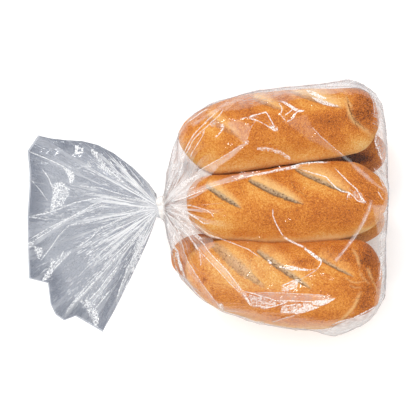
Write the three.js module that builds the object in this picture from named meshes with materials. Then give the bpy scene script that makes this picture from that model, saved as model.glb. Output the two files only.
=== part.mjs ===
// Clear film bag of six sub rolls, lying on its back: a filled body, a gathered neck with a white tie
// round it, and the loose mouth of the bag fanned out beyond the tie.
// Millimetres. +X runs from the tail to the closed end, +Y across the rolls, +Z up, Z = 0 is the table.
// Sizes along X are from a point about midway, and the whole is centred over the origin at the end.
import * as THREE from "three";

// ---- the filled body: how far the bag reaches from the line of the neck ----
const NECK = { x: -34.6, z: 45, halfY: 8.6, halfZ: 6.0 };
const GIRTH_X = 70; // where the bag is fullest
const END_X = 147.6; // the closed end
const END_SWELL = 2.6; // how far the closed end bulges past its rim
const END_RIM_SHARE = 0.932; // where the rim lies on the way to the point where the outline would close
// Each side's reach at the girth, its growth per mm towards the closed end, and how square its outline
// is towards the neck and towards the closed end (2 is round).
const SIDES = {
  far: { reach: 101, grows: 0.085, neckPower: 2.8, endPower: 4.4 },
  near: { reach: 99.5, grows: 0.09, neckPower: 2.3, endPower: 3.8 },
  top: { reach: 66, grows: 0, neckPower: 2.5, endPower: 3.6 },
  under: { reach: 50.5, grows: 0, neckPower: 2.7, endPower: 4.5 },
};
const SECTION_POWER = { neck: 2, body: 2.9 };

// ---- what shows on the body: gaps between the rolls, pleats from the neck, ears and the end seal ----
const ROLL_GAPS = { y: [34, -32], depth: 3.2, width: 9, fullFrom: 0.6 };
const PLEATS = { count: 11, depth: 0.05, length: 68, rounding: 34 };
const EARS = {
  far: { x: 116, out: 3.5, width: 15 },
  near: { x: 104, out: 5.5, width: 14 },
};
const EAR_HEIGHT = { z: 48, spread: 17 };
const EAR_Y = { from: 60, to: 95 };
const END_SEAL = { z: 56, out: 1.8, spread: 5 };

// ---- the tail: a fan of film from the tie to the bag's cut mouth ----
const TAIL = {
  x: -43.2,
  length: 114.5, // tie to mouth, along the film
  farAngle: { neck: 70, mouth: 31.5 }, // degrees from -X towards +Y
  nearAngle: { neck: -79, mouth: -66 },
  spreading: 0.9,
  mouthZ: 13, // middle height of the mouth above the table
  lowest: 0.6,
  droop: 1.15,
  openBy: 0.35, // share of the length over which the neck's bundle flattens into two layers
  halfThick: 2.1,
  rimShare: 0.25, // thickness left at the fan's two folded sides
};
const FOLDS = { height: 5.6, turns: 2.9, sway: 0.55, swayTurns: 2.3, shift: 0.8 };
const FINE_FOLDS = { height: 2, turns: 6.1, shift: 0.4 };
// The cut mouth runs in and out with the folds: where across the fan (-1 near, 1 far), how far, how wide.
const MOUTH_RUFFLES = [
  { at: 0.86, out: 4, width: 0.14 },
  { at: 0.3, out: -7, width: 0.34 },
  { at: -0.24, out: 6.5, width: 0.12 },
  { at: -0.36, out: -8, width: 0.06 },
  { at: -0.6, out: 7, width: 0.1 },
  { at: -0.86, out: -4, width: 0.14 },
];

// ---- the tie: a white strip wound once round the neck and lapped on itself ----
const TIE = {
  x: -38.9,
  width: 5.2,
  gap: 0.6, // to the neck
  thick: 0.9,
  lap: 0.8, // step where the outer end lies on the first turn
  lapFrom: 250, // degrees round the neck, on the underside
  lapTurn: { from: 0.72, to: 0.8 }, // share of the turn over which the strip climbs onto itself
  bevel: 0.3,
  lean: 6, // degrees
  steps: 56,
};

// ---- how finely the bag is divided ----
const ACROSS = 30;
const UP = 6;
const TAIL_STEPS = 14;
const NECK_STEPS = 2;
const SHOULDER_STEPS = 13;
const END_STEPS = 12;

const { degToRad, lerp, smoothstep } = THREE.MathUtils;
const bump = (x, middle, width) => Math.exp(-(((x - middle) / width) ** 2));
// the other coordinate of a superellipse of this power, both as shares of their half axes
const outline = (share, power) => Math.max(0, 1 - share ** power) ** (1 / power);

// Half size of the body on one side at x.
function reachAt(side, neckHalf, x) {
  const full = side.reach + side.grows * (x - GIRTH_X);
  if (x > GIRTH_X) {
    const share = ((x - GIRTH_X) / (END_X - END_SWELL - GIRTH_X)) * END_RIM_SHARE;
    return full * outline(share, side.endPower);
  }
  const share = Math.min(1, (GIRTH_X - x) / (GIRTH_X - NECK.x));
  return neckHalf + (full - neckHalf) * outline(share, side.neckPower);
}

// The section at x for the square's (v, w), each from -1 to 1, as an offset from the line of the neck.
// Points inside the square give points inside the section.
function sectionPoint(x, v, w) {
  const inside = Math.max(Math.abs(v), Math.abs(w));
  if (inside === 0) return { y: 0, z: 0 };
  const halfY = reachAt(v > 0 ? SIDES.far : SIDES.near, NECK.halfY, x);
  const halfZ = reachAt(w > 0 ? SIDES.top : SIDES.under, NECK.halfZ, x);
  const fullness = smoothstep(x, NECK.x, NECK.x + PLEATS.rounding);
  const power = lerp(SECTION_POWER.neck, SECTION_POWER.body, fullness);
  const toRim = (Math.abs(v) ** power + Math.abs(w) ** power) ** (-1 / power);
  const turn = Math.atan2(w * halfZ, v * halfY);
  const pleated = Math.sin(Math.PI * smoothstep(x, NECK.x, NECK.x + PLEATS.length));
  const pleat = 1 + PLEATS.depth * pleated * Math.cos(PLEATS.count * turn + Math.sin(2 * turn));
  const scale = inside * toRim * pleat;
  return { y: v * halfY * scale, z: w * halfZ * scale };
}

function bodyPoint(x, v, w) {
  const { y, z } = sectionPoint(x, v, w);
  const gaps = ROLL_GAPS.y.reduce((sum, gapY) => sum + bump(y, gapY, ROLL_GAPS.width), 0);
  const upwards = smoothstep(z, 0, SIDES.top.reach * ROLL_GAPS.fullFrom);
  const sunk = ROLL_GAPS.depth * gaps * upwards * smoothstep(x, NECK.x, GIRTH_X);
  const height = NECK.z + z - sunk;
  const ear = v > 0 ? EARS.far : EARS.near;
  const earOut = ear.out * bump(x, ear.x, ear.width) * bump(height, EAR_HEIGHT.z, EAR_HEIGHT.spread);
  const sideways = Math.sign(y) * smoothstep(Math.abs(y), EAR_Y.from, EAR_Y.to);
  return new THREE.Vector3(x, y + earOut * sideways, Math.max(0, height));
}

// The closed end swells past the rim, with the fin of the bag's seal across it.
function closedEndPoint(v, w) {
  const inside = Math.max(Math.abs(v), Math.abs(w));
  const point = bodyPoint(END_X - END_SWELL, v, w);
  const seal = END_SEAL.out * bump(point.z, END_SEAL.z, END_SEAL.spread) * (1 - inside ** 4);
  point.x += END_SWELL * outline(inside, 2) + seal;
  return point;
}

// Height of the fan's folds across it, from v = -1 to 1, before they grow towards the mouth.
function foldHeight(v) {
  const swayed = FOLDS.turns * v + FOLDS.sway * Math.sin(FOLDS.swayTurns * v + FOLDS.shift);
  const fine = FINE_FOLDS.turns * v + FINE_FOLDS.shift;
  return FOLDS.height * Math.sin(Math.PI * swayed) + FINE_FOLDS.height * Math.sin(Math.PI * fine);
}

// A point of the tail: along it from 0 at the neck to 1 at the mouth, v across, w through its layers.
function tailPoint(along, v, w) {
  const spread = along ** TAIL.spreading;
  const angleFar = lerp(TAIL.farAngle.neck, TAIL.farAngle.mouth, spread);
  const angleNear = lerp(TAIL.nearAngle.neck, TAIL.nearAngle.mouth, spread);
  const angle = degToRad(lerp(angleNear, angleFar, (1 + v) / 2));
  const ruffle = MOUTH_RUFFLES.reduce((sum, r) => sum + r.out * bump(v, r.at, r.width), 0);
  const radius = along * (TAIL.length + ruffle * along ** 3);
  const bundle = sectionPoint(NECK.x, v, w);
  const opened = smoothstep(along, 0, TAIL.openBy);
  const lens = lerp(TAIL.rimShare, 1, outline(Math.abs(v), 2));
  const layer = lerp(bundle.z, w * TAIL.halfThick * lens, opened);
  const middle = lerp(NECK.z, TAIL.mouthZ, along ** TAIL.droop);
  const fold = along * opened * foldHeight(v);
  return new THREE.Vector3(
    TAIL.x - radius * Math.cos(angle),
    radius * Math.sin(angle) + bundle.y * (1 - along) ** 2,
    Math.max(TAIL.lowest, middle + fold + layer),
  );
}

// The bag's stations from the mouth of the tail to the rim of the closed end. Each places (v, w).
function bagStations() {
  const stations = [];
  for (let i = TAIL_STEPS; i > 0; i--) {
    const along = (i / TAIL_STEPS) ** 1.25;
    stations.push((v, w) => tailPoint(along, v, w));
  }
  for (let i = 0; i < NECK_STEPS; i++) {
    const x = lerp(TAIL.x, NECK.x, i / NECK_STEPS);
    stations.push((v, w) => bodyPoint(NECK.x, v, w).setX(x));
  }
  for (let i = 0; i < SHOULDER_STEPS; i++) {
    const turn = (Math.PI / 2) * (i / SHOULDER_STEPS);
    const x = GIRTH_X - (GIRTH_X - NECK.x) * Math.cos(turn) ** 0.75;
    stations.push((v, w) => bodyPoint(x, v, w));
  }
  for (let i = 0; i <= END_STEPS; i++) {
    const turn = (Math.PI / 2) * (i / END_STEPS);
    const x = GIRTH_X + (END_X - END_SWELL - GIRTH_X) * Math.sin(turn);
    stations.push((v, w) => bodyPoint(x, v, w));
  }
  return stations;
}

// The whole bag is one closed box of film, bent station by station into fan, neck and body.
function bagGeometry() {
  const stations = bagStations();
  const last = stations.length - 1;
  const geometry = new THREE.BoxGeometry(2, 2, 2, last, ACROSS, UP);
  const position = geometry.getAttribute("position");
  const normal = geometry.getAttribute("normal");
  for (let i = 0; i < position.count; i++) {
    const station = Math.round(((position.getX(i) + 1) / 2) * last);
    const [v, w] = [position.getY(i), position.getZ(i)];
    const onClosedEnd = normal.getX(i) > 0.5;
    const point = onClosedEnd ? closedEndPoint(v, w) : stations[station](v, w);
    position.setXYZ(i, point.x, point.y, point.z);
  }
  geometry.computeVertexNormals();
  return geometry;
}

// The tie is an extruded ring with an oval hole for the neck. Its outer edge winds out by the lap and
// steps back where the strip's end is stuck down.
function tieGeometry() {
  const inner = { y: NECK.halfY + TIE.gap, z: NECK.halfZ + TIE.gap };
  const ring = new THREE.Shape();
  for (let i = 0; i < TIE.steps; i++) {
    const turn = i / TIE.steps;
    const angle = degToRad(TIE.lapFrom) + turn * Math.PI * 2;
    const thick = TIE.thick + TIE.lap * smoothstep(turn, TIE.lapTurn.from, TIE.lapTurn.to);
    const [y, z] = [Math.cos(angle) * (inner.y + thick), Math.sin(angle) * (inner.z + thick)];
    if (i === 0) ring.moveTo(y, z);
    else ring.lineTo(y, z);
  }
  ring.closePath();
  ring.holes.push(new THREE.Path().absellipse(0, 0, inner.y, inner.z, 0, Math.PI * 2, true));
  const geometry = new THREE.ExtrudeGeometry(ring, {
    depth: TIE.width - 2 * TIE.bevel,
    curveSegments: 18,
    bevelThickness: TIE.bevel,
    bevelSize: TIE.bevel,
    bevelOffset: -TIE.bevel,
    bevelSegments: 2,
  });
  geometry.translate(0, 0, TIE.bevel - TIE.width / 2);
  // the ring's own x, y and z become the bag's Y, Z and X
  const alongNeck = new THREE.Matrix4().makeBasis(
    new THREE.Vector3(0, 1, 0),
    new THREE.Vector3(0, 0, 1),
    new THREE.Vector3(1, 0, 0),
  );
  return geometry.applyMatrix4(alongNeck);
}

const film = new THREE.MeshStandardMaterial({
  color: 0xe4e6ea,
  roughness: 0.15,
  metalness: 0,
  transparent: true,
  opacity: 0.35,
});
const whiteStrip = new THREE.MeshStandardMaterial({ color: 0xf6f5f2, roughness: 0.6, metalness: 0 });

const bag = new THREE.Mesh(bagGeometry(), film);
bag.name = "bag";

const tie = new THREE.Mesh(tieGeometry(), whiteStrip);
tie.name = "tie";
tie.position.set(TIE.x, 0, NECK.z);
tie.rotation.z = degToRad(TIE.lean);

// the origin lies on the table under the middle of the whole pack
const pack = new THREE.Group();
pack.add(bag, tie);
const middle = new THREE.Box3().setFromObject(pack, true).getCenter(new THREE.Vector3());
pack.position.set(-middle.x, -middle.y, 0);

export default pack;
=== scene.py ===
# Six sub rolls in a clear film bag, tied with a white strip and lying on its back.
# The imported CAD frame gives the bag's size and the tie's place; the rolls and the film are made here.
import math

import bmesh
import bpy
import numpy as np
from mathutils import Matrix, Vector, noise
from mathutils.bvhtree import BVHTree


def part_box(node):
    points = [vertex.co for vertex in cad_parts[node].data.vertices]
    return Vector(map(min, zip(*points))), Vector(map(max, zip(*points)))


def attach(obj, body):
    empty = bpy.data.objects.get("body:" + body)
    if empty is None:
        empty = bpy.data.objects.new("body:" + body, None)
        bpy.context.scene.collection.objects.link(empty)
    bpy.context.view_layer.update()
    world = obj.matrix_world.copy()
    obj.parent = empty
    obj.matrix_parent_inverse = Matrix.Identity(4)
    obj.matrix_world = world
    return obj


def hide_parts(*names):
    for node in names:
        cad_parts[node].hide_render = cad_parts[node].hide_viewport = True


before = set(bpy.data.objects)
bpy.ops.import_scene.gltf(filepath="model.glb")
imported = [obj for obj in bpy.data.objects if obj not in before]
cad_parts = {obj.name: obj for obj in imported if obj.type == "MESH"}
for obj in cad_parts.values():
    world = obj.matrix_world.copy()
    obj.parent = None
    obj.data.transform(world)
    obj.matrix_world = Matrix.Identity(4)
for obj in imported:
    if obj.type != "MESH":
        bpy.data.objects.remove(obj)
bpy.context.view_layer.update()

mm = 0.001

# Every pixel below is in the photo's 416 x 416 picture, which looks straight down.
photo = {
    "size": 416,
    "mmPerPixel": 0.82,  # at the height of the bag's widest outline
    "neckPixel": (160.6, 208.0),  # the middle of the tie
    "height": 0.055,  # metres above the table where the scale holds
    "cameraAway": 2.4,  # metres from there to the lens
}
tieLow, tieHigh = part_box("tie")
neck = (tieLow + tieHigh) / 2
scale = photo["mmPerPixel"] * mm
cameraXY = np.array([
    neck.x + (photo["size"] / 2 - photo["neckPixel"][0]) * scale,
    neck.y - (photo["size"] / 2 - photo["neckPixel"][1]) * scale,
])


def fromPhoto(pixels, z):
    # the points at height z that the camera sees at these pixels
    pixels = np.asarray(pixels, float)
    nearer = 1 - (z - photo["height"]) / photo["cameraAway"]
    offset = (pixels - photo["size"] / 2) * scale * np.array([1, -1])
    return cameraXY + offset * (nearer if np.isscalar(nearer) else nearer[:, None])


def toPhoto(points):
    nearer = 1 - (points[:, 2] - photo["height"]) / photo["cameraAway"]
    offset = (points[:, :2] - cameraXY) / nearer[:, None] / scale
    return offset * np.array([1, -1]) + photo["size"] / 2


def smooth(x, low, high):
    t = np.clip((x - low) / (high - low), 0, 1)
    return t * t * (3 - 2 * t)


def mix(a, b, t):
    return a + (b - a) * t


def bump(x, middle, width):
    return np.exp(-(((x - middle) / width) ** 2))


def lumps(points, size, seed=0, detail=1):
    # smooth noise from -1 to 1 over lumps of this size
    shift = Vector((seed * 7.31, seed * 3.17, seed * 5.73))
    total = np.zeros(len(points))
    for octave in range(detail):
        k = 2**octave / size
        total += np.array([noise.noise(Vector(p) * k + shift) for p in points]) / 2**octave
    return total


def readPoints(mesh):
    flat = np.empty(len(mesh.vertices) * 3)
    mesh.vertices.foreach_get("co", flat)
    return flat.reshape(-1, 3)


def writePoints(mesh, points):
    mesh.vertices.foreach_set("co", np.ascontiguousarray(points, float).ravel())
    mesh.update()


def readNormals(mesh):
    flat = np.empty(len(mesh.vertices) * 3, np.float32)
    mesh.vertex_normals.foreach_get("vector", flat)
    return flat.reshape(-1, 3)


def paint(mesh, name, values):
    # one number, or one vector, for each vertex
    values = np.ascontiguousarray(values, np.float32)
    kind, field = ("FLOAT", "value") if values.ndim == 1 else ("FLOAT_VECTOR", "vector")
    mesh.attributes.new(name, kind, "POINT").data.foreach_set(field, values.ravel())


def newPiece(name, bm, material):
    mesh = bpy.data.meshes.new(name)
    bm.to_mesh(mesh)
    bm.free()
    for polygon in mesh.polygons:
        polygon.use_smooth = True
    piece = bpy.data.objects.new(name, mesh)
    bpy.context.scene.collection.objects.link(piece)
    mesh.materials.append(material)
    return piece


def linear(hexColor):
    # sRGB hex to the linear values that shaders take
    channels = [int(hexColor[i:i + 2], 16) / 255 for i in (1, 3, 5)]
    return (*(c / 12.92 if c <= 0.04045 else ((c + 0.055) / 1.055) ** 2.4 for c in channels), 1)


def addNode(tree, kind, inputs=None, **settings):
    # one node: its settings, then its sockets, each set to a value or linked from another node's socket,
    # which is the first one where only the node is given
    node = tree.nodes.new("ShaderNode" + kind)
    for key, value in settings.items():
        setattr(node, key, value)
    for key, value in (inputs or {}).items():
        socket = node.inputs[key]
        if isinstance(value, bpy.types.Node):
            value = value.outputs[0]
        if isinstance(value, bpy.types.NodeSocket):
            tree.links.new(value, socket)
        else:
            socket.default_value = value
    return node


def newMaterial(name):
    material = bpy.data.materials.new(name)
    material.use_nodes = True
    material.node_tree.nodes.clear()
    return material, material.node_tree


# Baked wheat crust: a dry, nearly matt skin, brown where it domed into the heat, yellow along the base.
# Where a slash opened it shows grey porous crumb, and beyond that pale dough that stretched in the oven.
crustLook = {
    "tones": ((0.0, "#F0CA88"), (0.20, "#E9B05C"), (0.42, "#DE8F36"), (0.64, "#C76F22"), (0.84, "#A15519"),
              (0.93, "#874315"), (1.0, "#5C2E0E")),
    "stretched": "#F2C888",
    "crumb": "#E3C59C",
    "pore": "#6E4E32",
    # the painted shade of a slash's crumb, under its near lip and in deep slashes
    "groove": "#85603F",
    "crack": "#7A4519",
    # each pattern's grain in mm, its detail and roughness; and how far the first three change the bake
    "blotch": (15, 3.0, 0.55), "mottle": (1.9, 3.0, 0.6), "speck": (0.9, 1.0, 0.5),
    "pores": (1.4, 3.0, 0.7), "grain": (0.9, 3.0, 0.6),
    "blotched": 0.36, "mottled": 0.60, "specked": 0.90,
}


def bakedCrust():
    material, tree = newMaterial("bakedWheatCrust")
    look = crustLook
    position = addNode(tree, "TexCoord").outputs["Object"]
    painted = {k: addNode(tree, "Attribute", attribute_name=k).outputs["Fac"]
               for k in ("bake", "cut", "opened", "deep", "crack", "cracked", "stretched")}
    blotch, mottle, speck, pores, grain = (
        addNode(tree, "TexNoise",
                {"Vector": position, "Scale": 1000 / size, "Detail": detail, "Roughness": roughness})
        for size, detail, roughness in (look[k] for k in ("blotch", "mottle", "speck", "pores", "grain")))
    # the bake level also carries painted shade on the flanks and in the crevices between rolls
    baked = painted["bake"]
    for noiseNode, amount in ((blotch, "blotched"), (mottle, "mottled"), (speck, "specked")):
        baked = addNode(tree, "Math", {0: noiseNode, 1: look[amount], 2: baked}, operation="MULTIPLY_ADD")
    level = addNode(tree, "Math",
                    {0: baked, 1: (look["blotched"] + look["mottled"] + look["specked"]) / 2},
                    operation="SUBTRACT")
    ramp = addNode(tree, "ValToRGB", {"Fac": level})
    for place, element in ((0, ramp.color_ramp.elements[0]), (-1, ramp.color_ramp.elements[1])):
        element.position, element.color = look["tones"][place][0], linear(look["tones"][place][1])
    for share, shade in look["tones"][1:-1]:
        ramp.color_ramp.elements.new(share).color = linear(shade)
    # cut runs from 0 at a slash's near lip to 1 where the stretched dough ends
    ragged = addNode(tree, "Math", {0: mottle, 1: 0.24, 2: -0.12}, operation="MULTIPLY_ADD")
    edge = addNode(tree, "Math", {0: painted["cut"], 1: ragged}, operation="ADD")
    pastLip = addNode(tree, "MapRange",
                      {"Value": edge, "From Min": -0.04, "From Max": 0.06}, interpolation_type="SMOOTHSTEP")
    beforeRamp = addNode(tree, "MapRange",
                         {"Value": edge, "From Min": 0.26, "From Max": 0.5, "To Min": 1.0, "To Max": 0.0},
                         interpolation_type="SMOOTHSTEP")
    inside = addNode(tree, "Math", {0: pastLip, 1: beforeRamp}, operation="MULTIPLY")
    crumbShare = addNode(tree, "Math", {0: inside, 1: painted["opened"]}, operation="MULTIPLY")
    poreMask = addNode(tree, "MapRange", {"Value": pores, "From Min": 0.37, "From Max": 0.46})
    porous = addNode(tree, "Mix",
                     {"Factor": poreMask, 6: linear(look["pore"]), 7: linear(look["crumb"])},
                     data_type="RGBA")
    # painted shade: the crumb darkens towards the groove colour under the near lip and in deep slashes
    underLip = addNode(tree, "MapRange",
                       {"Value": edge, "From Min": 0.02, "From Max": 0.3, "To Min": 0.55, "To Max": 0.0},
                       interpolation_type="SMOOTHSTEP")
    shaded = addNode(tree, "Math",
                     {0: painted["deep"], 1: 0.46, 2: underLip}, operation="MULTIPLY_ADD", use_clamp=True)
    crumbColor = addNode(tree, "Mix",
                         {"Factor": shaded, 6: porous.outputs[2], 7: linear(look["groove"])},
                         data_type="RGBA")
    paler = addNode(tree, "Math", {0: mottle, 1: -1.1, 2: 1.5}, operation="MULTIPLY_ADD")
    stretchShare = addNode(tree, "Math",
                           {0: painted["stretched"], 1: paler}, operation="MULTIPLY", use_clamp=True)
    skin = addNode(tree, "Mix",
                   {"Factor": stretchShare, 6: ramp, 7: linear(look["stretched"])}, data_type="RGBA")
    opening = addNode(tree, "Mix",
                      {"Factor": crumbShare, 6: skin.outputs[2], 7: crumbColor.outputs[2]},
                      data_type="RGBA")
    # cracks: crack counts half widths to the nearest one
    jagged = addNode(tree, "Math", {0: speck, 1: 5.0, 2: painted["crack"]}, operation="MULTIPLY_ADD")
    shifted = addNode(tree, "Math", {0: jagged, 1: 2.5}, operation="SUBTRACT")
    crackAway = addNode(tree, "Math", {0: shifted}, operation="ABSOLUTE")
    crackLine = addNode(tree, "MapRange",
                        {"Value": crackAway, "From Min": 0.3, "From Max": 1.0, "To Min": 1.0, "To Max": 0.0},
                        interpolation_type="SMOOTHSTEP")
    crackShare = addNode(tree, "Math", {0: crackLine, 1: painted["cracked"]}, operation="MULTIPLY")
    color = addNode(tree, "Mix",
                    {"Factor": crackShare, 6: opening.outputs[2], 7: linear(look["crack"])},
                    data_type="RGBA")
    relief = addNode(tree, "Math", {0: poreMask, 1: crumbShare, 2: grain}, operation="MULTIPLY_ADD")
    raised = addNode(tree, "Bump", {"Height": relief, "Distance": 0.5 * mm, "Strength": 0.9})
    shader = addNode(tree, "BsdfPrincipled",
                     {"Base Color": color.outputs[2], "Roughness": 0.6, "IOR": 1.45, "Normal": raised})
    addNode(tree, "OutputMaterial", {"Surface": shader})
    return material


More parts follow.
